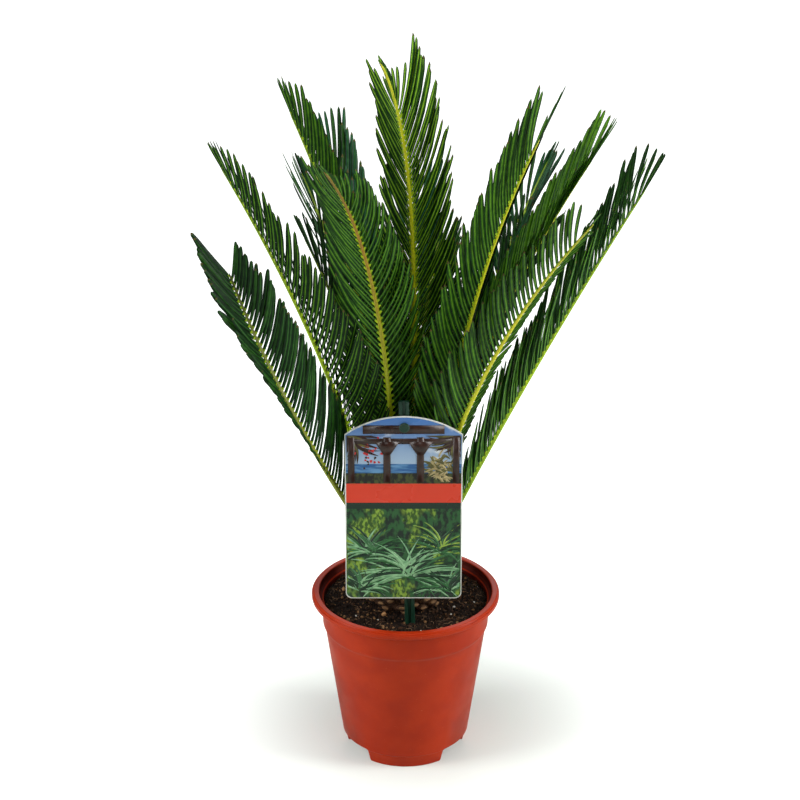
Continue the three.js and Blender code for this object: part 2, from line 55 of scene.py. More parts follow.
POT = {
    "height": 137.0,
    "rim_radius": 75.0,  # outer edge of the rolled lip
    "lip_inner": 69.0,
    "lip_height": 5.3,
    "collar_radius": 66.5,
    "collar_height": 24.0,
    "collar_step": 9.0,
    "body_radius": 64.0,
    "foot_top_radius": 50.8,
    "foot_radius": 46.8,
    "foot_height": 12.0,
    "ring": 2.0,
    "floor_height": 13.0,
    "wall": 1.5,
}
NOTCH = {
    "angles": [90, 210, 330], "half_width": 17.5, "height": 11.3, "sag": 0.8, "corner": 5.0,
    "toe": 4.5, "shoulder": 6, "flare": 1.8,
    "fine": (14.5, 25.0),  # degrees from its middle within which its columns stand close
}
DRAIN = {"count": 6, "radius": 4.5, "circle": 28.0}
SOIL = {"top": 129.0, "edge_drop": 2.0, "edge_width": 7.0, "relief": 1.3}
TRUNK = {
    "foot_radius": 27.0,
    "radius": 31.0,
    "height": 39.0,
    "outline": [(0.14, 0.96), (0.3, 1), (0.5, 0.99), (0.68, 0.92), (0.82, 0.78), (0.92, 0.58), (0.98, 0.3)],
}
CARD = {
    "width": 90.0, "height": 156.0, "bottom": 153.0, "arch": 15.0, "corner": 5.0,
    "thickness": 1.0, "x": -1.6, "y": -45.0,
}
STICK = {
    "width": 8.0, "depth": 4.0, "groove": 1.4, "groove_width": 3.2, "bottom": 88.0, "top": 320.0,
    "x": 3.5, "lean": 1.54,
}
BUTTON = {"height": 300.0, "radius": 4.0, "thickness": 2.0, "peg_radius": 2.0, "bevel": 0.5}
GAP = 0.3  # between pieces that touch in the real thing
UP = np.array([0, 0, 1.0])
GOLDEN_ANGLE = 137.508  # degrees from one leaf base to the next round the trunk

LEAF = {
    "length": 70.0, "start": 0.14, "end": 0.997, "foot_share": 0.5, "foot_growth": 2.2,
    "closing": 0.88,  # the share of its angle that a bundled leaflet loses
    "crowding": 0.03,  # how far the leaflets are shifted towards the foot of their row
    "steps": 24,
    "least": 7,  # shorter leaflets are left out
    "reaches": (1.0, 0.8, 0.6, 0.42),  # shares of its length that are tried where room is short
}
THORN = {"first": 0.055, "clear": 0.008, "pairs": 5, "length": (2.2, 5.6)}
CHANCE = {"length": 0.03, "base": 1.4, "ends": 2.2, "vee": 2.5, "curl": 5.0, "turns": 0.12}
RIB = {
    "base_width": 5.8, "width": 4.2, "tip_width": 1.7, "base_depth": 4.6, "tip_depth": 1.6,
    "sunk": 7.0, "dip": 2.0, "strides": 240,
}

# Angles are in degrees and lengths in mm. Each frond leaves the crown at the angle `at`, `out` from
# its middle, heads for `azimuth`, turned by `sweep` on its way, and climbs at `rise` at its foot and
# at `tip` at its end; a larger `bow` bends it later. `roll` turns the blade about its rib, and
# `twist` adds to that towards the tip. `leaf` is its longest leaflet, `vee` how far its two rows are
# folded up, `pitch` their spacing, and `broad` scales their width. `base` and `ends` are a leaflet's
# angles from the rib at its foot and its tip, each for the lowest and the topmost one; `open` scales
# them from the frond's foot to its end, and `flare` on its right and its left. `rows` scales the
# leaflets' length on its right and on its left, each from foot to end. Within the shares `bundle` of
# the row the leaflets close up along the rib, and `fade` shortens them by its first number, sooner
# for a smaller second one. `turns` turns the right and the left leaflets about their own length.
# `tone` names its greens, `line` its leaflets' midribs, `edge` how dark their margins are painted as
# the shade between leaflets, and `rib` its rib.
# What a frond doesn't say is as in USUAL.
USUAL = dict(
    sweep=0, bow=1, roll=0, twist=0, leaf=LEAF["length"], vee=38.0, pitch=6.6, broad=1.0,
    base=(50.0, 34.0), ends=(27.0, 17.0), open=(1.0, 1.0), flare=(1.0, 1.0),
    rows=((1.0, 1.0), (1.0, 1.0)), bundle=(0.83, 0.9), fade=(0.72, 0.6), turns=(20.0, 20.0), edge="dark",
)
FRONDS = {
    "frond_left_low": dict(
        at=-150, out=16.5, azimuth=-140, sweep=-25, rise=55.5, tip=72, length=299, roll=20, twist=68,
        vee=37, pitch=4.8, broad=1.3, open=(1.0, 1.2), rows=((1.1, 0.66), (-0.2, 1.05)),
        bundle=(0.8, 1.5), fade=(0.3, 0.8), turns=(20, -45), tone="deep", line="dark", rib="brown"),
    "frond_left_outer": dict(
        at=-173, out=17, azimuth=-165, rise=82, tip=62, bow=0.7, length=361, roll=-12, pitch=5.8,
        open=(1.3, 0.72), rows=((1.08, 0.62), (1.2, 0.6)), bundle=(0.9, 0.97), fade=(0.5, 1.0),
        tone="deep", line="dim", rib="green"),
    "frond_left_tall": dict(
        at=-150, out=8, azimuth=-158, sweep=3, rise=88.8, tip=66.6, length=393, roll=-10, open=(0.7, 0.7),
        rows=((1.0, 0.72), (1.0, 0.72)), bundle=(0.92, 1.0), fade=(0.5, 1.0), tone="mid", line="dim",
        rib="green"),
    "frond_left_inner": dict(
        at=165, out=20, azimuth=174, rise=92, tip=64, length=276, roll=-10, tone="deep", line="dark",
        rib="green"),
    "frond_back_left": dict(
        at=137, out=15, azimuth=128, rise=87, tip=50, length=314, tone="blue", line="dark", rib="green"),
    "frond_back_left_tall": dict(
        at=112, out=15, azimuth=110, sweep=18, rise=84.6, tip=52, length=354, pitch=5.6, open=(0.7, 0.7),
        rows=((0.9, 0.9), (0.7, 0.55)), tone="blue", line="dark", rib="green"),
    "frond_back_inner": dict(
        at=100, out=5, azimuth=74, rise=88, tip=46, length=262, leaf=60, tone="deep", line="dark",
        rib="green"),
    "frond_back_tall": dict(
        at=82, out=17, azimuth=88, rise=80, tip=34, length=320, leaf=60, tone="blue", line="dark",
        rib="green"),
    "frond_back_right": dict(
        at=55, out=20, azimuth=54, rise=78, tip=32, length=275, leaf=60, tone="mid", line="dark",
        rib="green"),
    "frond_back_right_tall": dict(
        at=36, out=13, azimuth=42, rise=78.1, tip=53, length=330, rows=((1.0, 1.0), (0.75, 0.9)),
        tone="blue", line="dark", rib="green"),
    "frond_right_back": dict(
        at=22, out=21, azimuth=31, rise=83, tip=50, length=276, tone="deep", line="dark", rib="green"),
    "frond_right_inner": dict(
        at=2, out=14, azimuth=0, sweep=14, rise=82.0, tip=55.6, length=354, pitch=5.6, open=(0.8, 0.6),
        rows=((0.9, 0.8), (0.8, 0.75)), bundle=(0.95, 1.0), fade=(0.5, 1.0), tone="light", line="pale",
        edge="light", rib="lime"),
    "frond_right_outer": dict(
        at=-11, out=20, azimuth=-12, sweep=14, rise=66.6, tip=60, length=354, leaf=76, pitch=5.4,
        open=(0.72, 1.2), rows=((1.2, 0.68), (0.78, 0.72)), bundle=(0.92, 0.98), fade=(0.5, 1.0),
        tone="deep", line="dim", edge="light", rib="green"),
    "frond_right_tall": dict(
        at=-32, out=12, azimuth=-34, sweep=22, rise=80, tip=65.4, bow=2.3, length=373, roll=6, twist=18,
        vee=22, pitch=5.0, base=(50, 36), ends=(24, 13), open=(1.16, 0.72),
        rows=((0.87, 0.98), (0.8, 0.86)), bundle=(0.95, 0.97), fade=(0.8, 0.3), turns=(-15, 20),
        tone="mid", line="dim", rib="lime"),
    "frond_front_right": dict(
        at=-52, out=18, azimuth=-37, sweep=4, rise=79.8, tip=50.6, length=352, roll=30, vee=14, pitch=5.2,
        broad=1.15, base=(46, 40), ends=(20, 26), rows=((0.95, 0.64), (0.27, 0.24)), bundle=(0.92, 0.95),
        turns=(20, -35), tone="bright", line="dim", rib="yellow"),
    "frond_front_tall": dict(
        at=0, out=6, azimuth=-100, sweep=-15, rise=91.6, tip=48, bow=3.4, length=436, roll=-8, leaf=66,
        pitch=4.6, broad=1.2, base=(48, 25), ends=(26, 10), flare=(1.45, 1.05),
        rows=((1.0, 0.72), (1.18, 1.04)), bundle=(0.85, 0.9), fade=(0.85, 0.3), tone="mid", line="pale",
        rib="lime"),
    "frond_front_left": dict(
        at=-112, out=14, azimuth=-113, rise=85, tip=40, bow=2.1, length=400, roll=-12, vee=27, pitch=5.6,
        base=(62, 40), ends=(30, -6), flare=(1.25, 1.0), rows=((1.0, 0.84), (1.0, 0.62)), tone="olive",
        line="dim", rib="orange"),
}

# ---------------------------------------------------------------- shapes from arrays


def unit(vectors):
    """Each vector divided by its own length."""
    return vectors / np.linalg.norm(vectors, axis=-1, keepdims=True)


def blend(low, high, share):
    """The value that lies that share of the way from low to high."""
    return low + (high - low) * share


def noise(points, size, seed, octaves=3):
    """Smooth random relief, about -1 to 1. Random values stand on a cubic lattice of that size and
    are blended between the eight corners of each cell with the curve 3t^2 - 2t^3. Each further
    octave is half as large and half as strong."""
    table = np.random.default_rng(seed).uniform(-1, 1, (32, 32, 32))
    scaled = np.asarray(points, float) / size
    total, strength = 0.0, 1.0
    for _ in range(octaves):
        cell = np.floor(scaled).astype(int)
        part = scaled - cell
        part = part * part * (3 - 2 * part)
        for corner in np.ndindex(2, 2, 2):
            weight = np.prod(np.where(np.array(corner) == 1, part, 1 - part), -1)
            place = (cell + corner) % 32
            total = total + strength * weight * table[place[..., 0], place[..., 1], place[..., 2]]
        scaled, strength = scaled * 2.03 + 5.7, strength / 2
    return total


def ring_quads(rows, columns, joined=False):
    """Corner numbers of the quads between neighbouring rings of a grid, in order of ring and column.
    Each ring closes on itself, and joined also closes the last ring on the first."""
    row, column = np.meshgrid(np.arange(rows if joined else rows - 1), np.arange(columns), indexing="ij")
    here, above, after = row * columns, (row + 1) % rows * columns, (column + 1) % columns
    return np.stack([here + column, here + after, above + after, above + column], -1).reshape(-1, 4)


def fan(columns, first, middle, flipped):
    """Triangles from one middle point to the ring of points that starts at first."""
    column = np.arange(columns)
    after = (column + 1) % columns
    corners = np.stack([np.full(columns, middle), first + column, first + after], -1)
    return corners[:, ::-1] if flipped else corners


def volumes(points, triangles):
    """Six times the volume inside each shape: the sum of a . (b x c) over its triangles."""
    middle = points.mean(1, keepdims=True)
    a, b, c = (points[:, triangles[:, k]] - middle for k in range(3))
    return np.einsum("sti,sti->s", a, np.cross(b, c))


def halves(quads):
    """Each quad as two triangles."""
    return np.concatenate([quads[:, [0, 1, 2]], quads[:, [0, 2, 3]]])


def tubes(rings, finish=0, foot=None, head=None, foot_finish=None, head_finish=None):
    """Closed skins for many shapes at once from rings of points, (shapes, rings, columns, 3). Quads
    join each ring to the next, and a fan closes each end on one point, the ring's middle where none
    is given. A shape that comes out inside out has its faces turned. finish is dealt out over
    (shapes, rings - 1, columns)."""
    rings = np.asarray(rings, float)
    shapes, rows, columns = rings.shape[:3]
    foot = rings[:, 0].mean(1) if foot is None else np.broadcast_to(foot, (shapes, 3))
    head = rings[:, -1].mean(1) if head is None else np.broadcast_to(head, (shapes, 3))
    points = np.concatenate([rings.reshape(shapes, -1, 3), foot[:, None], head[:, None]], 1)
    quads = ring_quads(rows, columns)
    low = fan(columns, 0, rows * columns, True)
    high = fan(columns, (rows - 1) * columns, rows * columns + 1, False)
    inside_out = volumes(points, np.concatenate([halves(quads), low, high]))[:, None, None] < 0
    start = (np.arange(shapes) * points.shape[1])[:, None, None]

    def facing(corners):
        wound = np.where(inside_out, corners[:, ::-1], corners) + start
        return wound.reshape(-1, corners.shape[1])

    dealt = np.broadcast_to(finish, (shapes, rows - 1, columns))
    low_finish = dealt[:, 0] if foot_finish is None else np.broadcast_to(foot_finish, (shapes, columns))
    high_finish = dealt[:, -1] if head_finish is None else np.broadcast_to(head_finish, (shapes, columns))
    finishes = [dealt.ravel(), low_finish.ravel(), high_finish.ravel()]
    return points.reshape(-1, 3), list(zip([facing(quads), facing(low), facing(high)], finishes))


def ring_shell(rings, finish=0):
    """A closed skin from rings (rings, columns, 3) whose last ring joins its first, like a hoop."""
    rows, columns = rings.shape[:2]
    points = rings.reshape(-1, 3)
    quads = ring_quads(rows, columns, joined=True)
    if volumes(points[None], halves(quads))[0] < 0:
        quads = quads[:, ::-1]
    return points, [(quads, finish)]


def around(radius, angle, height):
    """Points round the pot's axis: (radius cos a, radius sin a, height), with a in radians."""
    x = radius * np.cos(angle)
    return np.stack([x, radius * np.sin(angle), np.broadcast_to(height, x.shape)], -1)


def turned(profile, angles):
    """A profile of [radius, height] rows turned about the pot's axis through angles in degrees."""
    radius, height = np.asarray(profile, float).T
    return around(radius[:, None], np.radians(angles), height[:, None])


def carried(path, sideways, upward, section, width, depth):
    """A flat section carried along a path: path + sideways * width * x + upward * depth * y for each
    of the section's points (x, y)."""
    return (
        path[..., None, :]
        + sideways[..., None, :] * (width[..., None] * section[:, 0])[..., None]
        + upward[..., None, :] * (depth[..., None] * section[:, 1])[..., None]
    )


def softened(corners, reach, steps=4, guard=0.8, closed=False):
    """A row of 2-D corners with each corner rounded by a quadratic curve: (1-t)^2 a + 2t(1-t) corner
    + t^2 b, whose ends a and b lie `reach` before and after the corner. A guard point stands a
    little further out on each side, so that long flat runs stay flat when they are shaded smooth."""
    corners = np.asarray(corners, float)
    reach = np.broadcast_to(reach, len(corners)).astype(float)
    before, after = np.roll(corners, 1, 0) - corners, np.roll(corners, -1, 0) - corners
    shortest = np.minimum(np.linalg.norm(before, axis=1), np.linalg.norm(after, axis=1))
    cut = np.minimum(reach, 0.42 * shortest)[:, None]
    far = np.minimum(cut[:, 0] + guard * np.minimum(1, reach), 0.48 * shortest)[:, None]
    to_before, to_after = unit(before), unit(after)
    t = np.linspace(0, 1, steps + 1)[None, :, None]
    a, b = (corners + to_before * cut)[:, None], (corners + to_after * cut)[:, None]
    curve = (1 - t) ** 2 * a + 2 * t * (1 - t) * corners[:, None] + t * t * b
    guards = (corners + to_before * far)[:, None], (corners + to_after * far)[:, None]
    whole = np.concatenate([guards[0], curve, guards[1]], 1)
    if closed:
        return whole.reshape(-1, 2)
    return np.concatenate([corners[:1], whole[1:-1].reshape(-1, 2), corners[-1:]])


def make_piece(name, skins, materials, nodes, smooth=True, shares=None, crease=None):
    """One piece from skins, each its points (mm round the pot's axis) and its faces with the number
    of their finish. shares, where given, is kept on the points as the attribute `share`. Edges that
    turn by more than `crease` degrees are shaded sharp."""
    points, loops, sizes, finishes, count = [], [], [], [], 0
    for skin_points, faces in skins:
        for corners, finish in faces:
            loops.append((corners + count).ravel())
            sizes.append(np.full(len(corners), corners.shape[1]))
            finishes.append(np.broadcast_to(finish, len(corners)))
        points.append(skin_points)
        count += len(skin_points)
    points, loops, sizes = np.concatenate(points), np.concatenate(loops), np.concatenate(sizes)
    mesh = bpy.data.meshes.new(name)
    mesh.vertices.add(count)
    mesh.vertices.foreach_set("co", (points / 1000 + AXIS).astype(np.float32).ravel())
    mesh.loops.add(len(loops))
    mesh.loops.foreach_set("vertex_index", loops.astype(np.int32))
    mesh.polygons.add(len(sizes))
    mesh.polygons.foreach_set("loop_start", (np.cumsum(sizes) - sizes).astype(np.int32))
    mesh.polygons.foreach_set("material_index", np.concatenate(finishes).astype(np.int32))
    mesh.polygons.foreach_set("use_smooth", np.full(len(sizes), smooth))
    for material in materials:
        mesh.materials.append(material)
    if shares is not None:
        mesh.attributes.new("share", "FLOAT", "POINT").data.foreach_set("value", shares.astype(np.float32))
    mesh.update(calc_edges=True)
    mesh.validate()
    if crease:
        mesh.set_sharp_from_angle(angle=np.radians(crease))
    piece = bpy.data.objects.new(name, mesh)
    bpy.context.collection.objects.link(piece)
    if nodes is None:
        return piece
    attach(piece, "root")
    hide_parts(*nodes)
    return piece


# ---------------------------------------------------------------- finishes


def shade(red, green, blue):
    """A colour from the usual 0-255 steps as linear light."""
    steps = np.array([red, green, blue]) / 255
    linear = np.where(steps <= 0.04045, steps / 12.92, ((steps + 0.055) / 1.055) ** 2.4)
    return (*linear.tolist(), 1.0)


class Nodes:
    """Places nodes in one tree. A key names the input that it links or sets, and n3 is input 3."""

    def __init__(self, tree):
        self.tree = tree

    def add(self, kind, settings=None, **inputs):
        node = self.tree.nodes.new(kind)
        for key, value in (settings or {}).items():
            setattr(node, key, value)
        for key, value in inputs.items():
            socket = node.inputs[int(key[1:]) if key.startswith("n") else key.replace("_", " ")]
            if isinstance(value, bpy.types.NodeSocket):
                self.tree.links.new(value, socket)
            else:
                socket.default_value = value
        return node

    def math(self, operation, first, second):
        return self.add("ShaderNodeMath", {"operation": operation}, n0=first, n1=second).outputs[0]

    def mix(self, share, low, high):
        """Blends the colour low into the colour high by that share."""
        node = self.add("ShaderNodeMix", {"data_type": "RGBA"}, n0=share, n6=low, n7=high)
        return node.outputs[2]

    def spread(self, value, low, high, to_low=0.0, to_high=1.0):
        """Eases a value from to_low, where it is low, to to_high, where it is high."""
        node = self.add("ShaderNodeMapRange", {"interpolation_type": "SMOOTHSTEP"},
                        n0=value, n1=low, n2=high, n3=to_low, n4=to_high)
        return node.outputs[0]

    def grain(self, vector, scale, detail=3.0):
        """Soft noise from 0 to 1."""
        node = self.add("ShaderNodeTexNoise", Vector=vector, Scale=scale, Detail=detail)
        return node.outputs[0]


def new_group(name, inputs, outputs):
    """An empty node group with named inputs and outputs, its node helper, and its inner ends."""
    tree = bpy.data.node_groups.new(name, "ShaderNodeTree")
    for title, kind, value in inputs:
        socket = tree.interface.new_socket(title, in_out="INPUT", socket_type=kind)
        socket.default_value = value
    for title, kind in outputs:
        tree.interface.new_socket(title, in_out="OUTPUT", socket_type=kind)
    nodes = Nodes(tree)
    return tree, nodes, nodes.add("NodeGroupInput").outputs, nodes.add("NodeGroupOutput").inputs


FLOAT, COLOUR, VECTOR = "NodeSocketFloat", "NodeSocketColor", "NodeSocketVector"


def mottled_colour_group():
    """Blends two colours by soft noise and lays small flecks of a third over them."""
    tree, nodes, given, out = new_group("mottled_colour", [
        ("Vector", VECTOR, (0, 0, 0)), ("Mottle Scale", FLOAT, 40.0), ("Low Colour", COLOUR, (0, 0, 0, 1)),
        ("High Colour", COLOUR, (1, 1, 1, 1)), ("Fleck Colour", COLOUR, (1, 1, 1, 1)),
        ("Fleck Scale", FLOAT, 400.0), ("Fleck Amount", FLOAT, 0.0),
    ], [("Colour", COLOUR)])
    mottle = nodes.spread(nodes.grain(given["Vector"], given["Mottle Scale"], 4.0), 0.32, 0.68)
    base = nodes.mix(mottle, given["Low Colour"], given["High Colour"])
    edge = nodes.math("SUBTRACT", 0.8, given["Fleck Amount"])
    fleck = nodes.math("GREATER_THAN", nodes.grain(given["Vector"], given["Fleck Scale"], 1.0), edge)
    tree.links.new(nodes.mix(fleck, base, given["Fleck Colour"]), out["Colour"])
    return tree


def fine_grain_group():
    """A height made of a coarse and a fine noise, Fine Share of it from the fine one."""
    tree, nodes, given, out = new_group("fine_grain", [
        ("Vector", VECTOR, (0, 0, 0)), ("Coarse Scale", FLOAT, 200.0), ("Fine Scale", FLOAT, 1200.0),
        ("Fine Share", FLOAT, 0.5),
    ], [("Height", FLOAT)])
    coarse = nodes.grain(given["Vector"], given["Coarse Scale"], 2.0)
    fine = nodes.grain(given["Vector"], given["Fine Scale"], 2.0)
    kept = nodes.math("SUBTRACT", 1.0, given["Fine Share"])
    parts = nodes.math("MULTIPLY", coarse, kept), nodes.math("MULTIPLY", fine, given["Fine Share"])
    tree.links.new(nodes.math("ADD", *parts), out["Height"])
    return tree


def rubbed_gloss_group():
    """A roughness that wanders between Smoothest and Roughest in soft patches."""
    tree, nodes, given, out = new_group("rubbed_gloss", [
        ("Vector", VECTOR, (0, 0, 0)), ("Patch Scale", FLOAT, 60.0), ("Smoothest", FLOAT, 0.3),
        ("Roughest", FLOAT, 0.5),
    ], [("Roughness", FLOAT)])
    patch = nodes.grain(given["Vector"], given["Patch Scale"], 3.0)
    tree.links.new(nodes.spread(patch, 0.3, 0.7, given["Smoothest"], given["Roughest"]), out["Roughness"])
    return tree


MOTTLED, GRAIN, GLOSS = mottled_colour_group(), fine_grain_group(), rubbed_gloss_group()


def place_group(nodes, group, **inputs):
    """Puts one of the groups into a material with its own values."""
    return nodes.add("ShaderNodeGroup", {"node_tree": group}, **inputs).outputs


def new_material(name, **shader_values):
    """A material with its shader, whose plain values are set on the shader itself."""
    material = bpy.data.materials.new(name)
    material.use_nodes = True
    nodes = Nodes(material.node_tree)
    shader = material.node_tree.nodes["Principled BSDF"]
    for title, value in shader_values.items():
        shader.inputs[title.replace("_", " ")].default_value = value
    place = nodes.add("ShaderNodeTexCoord").outputs["Object"]
    return material, nodes, shader, place


def lay_surface(nodes, shader, place, gloss, gloss_size, grain, bump):
    """Roughness from rubbed_gloss and a bump from fine_grain. grain is the size in mm of the coarse
    and of the fine relief and the fine one's share, and bump its height in mm and its strength."""
    rough = place_group(nodes, GLOSS, Vector=place, Patch_Scale=1000 / gloss_size, Smoothest=gloss[0],
                        Roughest=gloss[1])
    nodes.tree.links.new(rough["Roughness"], shader.inputs["Roughness"])
    height = place_group(nodes, GRAIN, Vector=place, Coarse_Scale=1000 / grain[0],
                         Fine_Scale=1000 / grain[1], Fine_Share=grain[2])
    relief = nodes.add("ShaderNodeBump", Strength=bump[1], Distance=bump[0] / 1000,
                       Height=height["Height"])
    nodes.tree.links.new(relief.outputs[0], shader.inputs["Normal"])


def finish(name, low, high, mottle=12.0, fleck=None, fleck_size=1.5, fleck_amount=0.0, gloss=(0.4, 0.55),
           gloss_size=15.0, grain=(4.0, 0.8, 0.5), bump=(0.1, 0.4), **shader_values):
    """A plain procedural finish: mottled colour between two shades, with flecks of a third, rubbed
    gloss and a fine grain. Sizes are in mm."""
    material, nodes, shader, place = new_material(name, **shader_values)
    low, high, fleck = shade(*low), shade(*high), shade(*(fleck or high))
    colour = place_group(nodes, MOTTLED, Vector=place, Mottle_Scale=1000 / mottle, Low_Colour=low,
                         High_Colour=high, Fleck_Colour=fleck, Fleck_Scale=1000 / fleck_size,
                         Fleck_Amount=fleck_amount)
    nodes.tree.links.new(colour["Colour"], shader.inputs["Base Color"])
    lay_surface(nodes, shader, place, gloss, gloss_size, grain, bump)
    material.diffuse_color = blend(np.array(low), np.array(high), 0.5).tolist()
    return material


def leaf_finish(name, low, high, gloss=(0.34, 0.46)):
    """A leaflet's skin: two close greens, with a dull wax and a fine grain."""
    return finish(name, low, high, mottle=5.0, gloss=gloss, gloss_size=8.0, grain=(1.6, 0.5, 0.5),
                  bump=(0.05, 0.25), Specular_IOR_Level=0.2)


def rib_finish(name, tones):
    """A frond's rib, whose colour runs through the tones from its foot to its tip by the rib's own
    attribute `share`, with fine mottling and a waxy gloss."""
    material, nodes, shader, place = new_material(name, Specular_IOR_Level=0.45)
    share = nodes.add("ShaderNodeAttribute", {"attribute_name": "share"}).outputs["Fac"]
    waver = nodes.math("MULTIPLY", nodes.math("SUBTRACT", nodes.grain(place, 160.0), 0.5), 0.12)
    ramp = nodes.add("ShaderNodeValToRGB", n0=nodes.math("ADD", share, waver))
    stops = ramp.color_ramp.elements
    while len(stops) < len(tones):
        stops.new(0.5)
    for stop, (position, colour) in zip(stops, tones):
        stop.position, stop.color = position, shade(*colour)
    speck = nodes.spread(nodes.grain(place, 700.0, 2.0), 0.35, 0.75)
    dark = nodes.add("ShaderNodeMix", {"data_type": "RGBA", "blend_type": "MULTIPLY"},
                     n0=nodes.math("MULTIPLY", speck, 0.35), n6=ramp.outputs[0], n7=shade(150, 150, 110))
    nodes.tree.links.new(dark.outputs[2], shader.inputs["Base Color"])
    lay_surface(nodes, shader, place, (0.36, 0.5), 10.0, (1.4, 0.4, 0.4), (0.05, 0.3))
    return material


MOULDED = dict(gloss_size=22.0, grain=(7.0, 0.9, 0.45), bump=(0.08, 0.35), Specular_IOR_Level=0.2)
TERRACOTTA = finish("terracotta_plastic", (172, 42, 5), (186, 50, 8), 26.0, fleck=(206, 96, 60),
                    fleck_size=1.1, fleck_amount=0.02, gloss=(0.34, 0.44), **MOULDED)
# The pot's inside: the same plastic painted darker, as the shade inside the pot.
TERRACOTTA_PAINTED_SHADE = finish("terracotta_plastic_painted_shade_inside", (84, 18, 6), (104, 26, 9), 9.0,
                           gloss=(0.6, 0.75), **MOULDED)
PEAT = finish("peat", (17, 12, 9), (38, 26, 18), 4.0, fleck=(112, 80, 52), fleck_size=0.9,
              fleck_amount=0.1, gloss=(0.85, 0.98), grain=(2.4, 0.6, 0.6), bump=(0.9, 0.9),
              Specular_IOR_Level=0.2)
EARTHY = dict(mottle=2.0, gloss=(0.8, 0.97), grain=(0.9, 0.3, 0.5), bump=(0.3, 0.8),
              Specular_IOR_Level=0.25)
CRUMB_DARK = finish("peat_crumbs_dark", (26, 17, 12), (44, 29, 20), **EARTHY)
CRUMB_BROWN = finish("peat_crumbs_brown", (46, 29, 18), (76, 50, 31), **EARTHY)
DRY = {**EARTHY, "gloss": (0.75, 0.95), "bump": (0.2, 0.7)}
CRUMB_TAN = finish("peat_crumbs_tan", (120, 86, 54), (156, 120, 82), **DRY)
PEBBLE = finish("tan_pebble", (164, 112, 66), (200, 150, 98), 2.5, fleck=(120, 80, 48), fleck_size=0.6,
                fleck_amount=0.12, gloss=(0.5, 0.7), grain=(1.2, 0.3, 0.5), bump=(0.2, 0.6))
WHITE_BIT = finish("white_grit", (214, 208, 196), (240, 238, 230), 1.0, gloss=(0.6, 0.8),
                   grain=(0.7, 0.25, 0.5), bump=(0.15, 0.6))
EARTHS = [PEAT, CRUMB_DARK, CRUMB_BROWN, CRUMB_TAN, PEBBLE, WHITE_BIT]
ROOT_HAIR = finish("root_hair", (96, 70, 48), (140, 108, 78), 3.0, gloss=(0.6, 0.8),
                   grain=(1.0, 0.3, 0.5), bump=(0.05, 0.5))
BARK = finish("shaggy_bark", (38, 25, 16), (74, 50, 32), 5.0, fleck=(140, 104, 68), fleck_size=0.9,
              fleck_amount=0.1, gloss=(0.8, 0.95), grain=(1.8, 0.4, 0.5), bump=(0.7, 0.9),
              Specular_IOR_Level=0.25)
SCALE = finish("leaf_base_scale", (56, 37, 24), (98, 68, 43), 3.5, fleck=(160, 122, 82), fleck_size=0.7,
               fleck_amount=0.1, gloss=(0.7, 0.9), grain=(1.2, 0.35, 0.5), bump=(0.3, 0.8),
               Specular_IOR_Level=0.3)
SCALE_END = finish("leaf_base_cut", (106, 78, 50), (146, 112, 74), 2.0, gloss=(0.7, 0.9),
                   grain=(0.8, 0.3, 0.5), bump=(0.2, 0.7), Specular_IOR_Level=0.3)
WOOL = finish("crown_wool", (150, 104, 60), (204, 160, 104), 3.0, gloss=(0.85, 0.97),
              grain=(0.8, 0.3, 0.5), bump=(0.1, 0.6), Specular_IOR_Level=0.2, Sheen_Weight=0.4)
BARKS = [BARK, SCALE, SCALE_END, WOOL]
_, BASE, CUT, FIBRE = range(4)  # their numbers

LEAF_TONES = {
    "deep": leaf_finish("leaflet_deep", (10, 42, 12), (17, 54, 12)),
    "mid": leaf_finish("leaflet_mid", (22, 62, 10), (35, 82, 13)),
    "bright": leaf_finish("leaflet_bright", (34, 82, 11), (52, 104, 14)),
    "blue": leaf_finish("leaflet_blue", (26, 74, 46), (40, 94, 64)),
    "light": leaf_finish("leaflet_light", (60, 114, 16), (84, 140, 24)),
    "olive": leaf_finish("leaflet_olive", (18, 52, 8), (29, 70, 11)),
}
LEAF_UNDER = leaf_finish("leaflet_underside", (32, 76, 12), (50, 98, 16), gloss=(0.42, 0.58))
LEAF_UNDER_DEEP = leaf_finish("leaflet_underside_deep", (16, 50, 12), (26, 64, 14), gloss=(0.42, 0.58))
LEAF_LINES = {
    "pale": leaf_finish("leaflet_midrib_pale", (124, 172, 40), (150, 198, 52)),
    "dim": leaf_finish("leaflet_midrib_green", (76, 128, 26), (100, 152, 34)),
    "dark": leaf_finish("leaflet_midrib_dark", (34, 82, 24), (48, 100, 30)),
}
# Dark leaflet margins: painted shade between neighbouring leaflets.
LEAF_MARGIN_PAINTED_SHADE = leaf_finish("leaflet_margin_painted_shade", (7, 28, 6), (12, 40, 9))
LEAF_FOOT = leaf_finish("leaflet_foot", (140, 174, 20), (172, 198, 28))
LEAF_TIP = leaf_finish("leaflet_tip", (72, 76, 34), (104, 90, 46), gloss=(0.5, 0.65))

RIB_TONES = {  # each with its tones at shares of its length
    name: rib_finish("rib_" + name, tones) for name, tones in {
        "green": [(0.0, (120, 96, 44)), (0.12, (150, 184, 30)), (0.55, (180, 212, 30)),
                  (1.0, (140, 172, 44))],
        "lime": [(0.0, (130, 104, 40)), (0.12, (190, 214, 20)), (0.7, (246, 246, 20)),
                 (1.0, (214, 214, 50))],
        "yellow": [(0.0, (140, 110, 44)), (0.12, (214, 222, 40)), (0.7, (242, 232, 50)),
                   (1.0, (210, 208, 60))],
        "orange": [(0.0, (130, 104, 40)), (0.15, (176, 202, 14)), (0.45, (178, 182, 20)),
                   (0.75, (172, 128, 28)), (1.0, (134, 112, 36))],
        "brown": [(0.0, (120, 90, 48)), (0.2, (150, 156, 34)), (0.7, (124, 132, 34)),
                  (1.0, (96, 104, 36))],
    }.items()
}

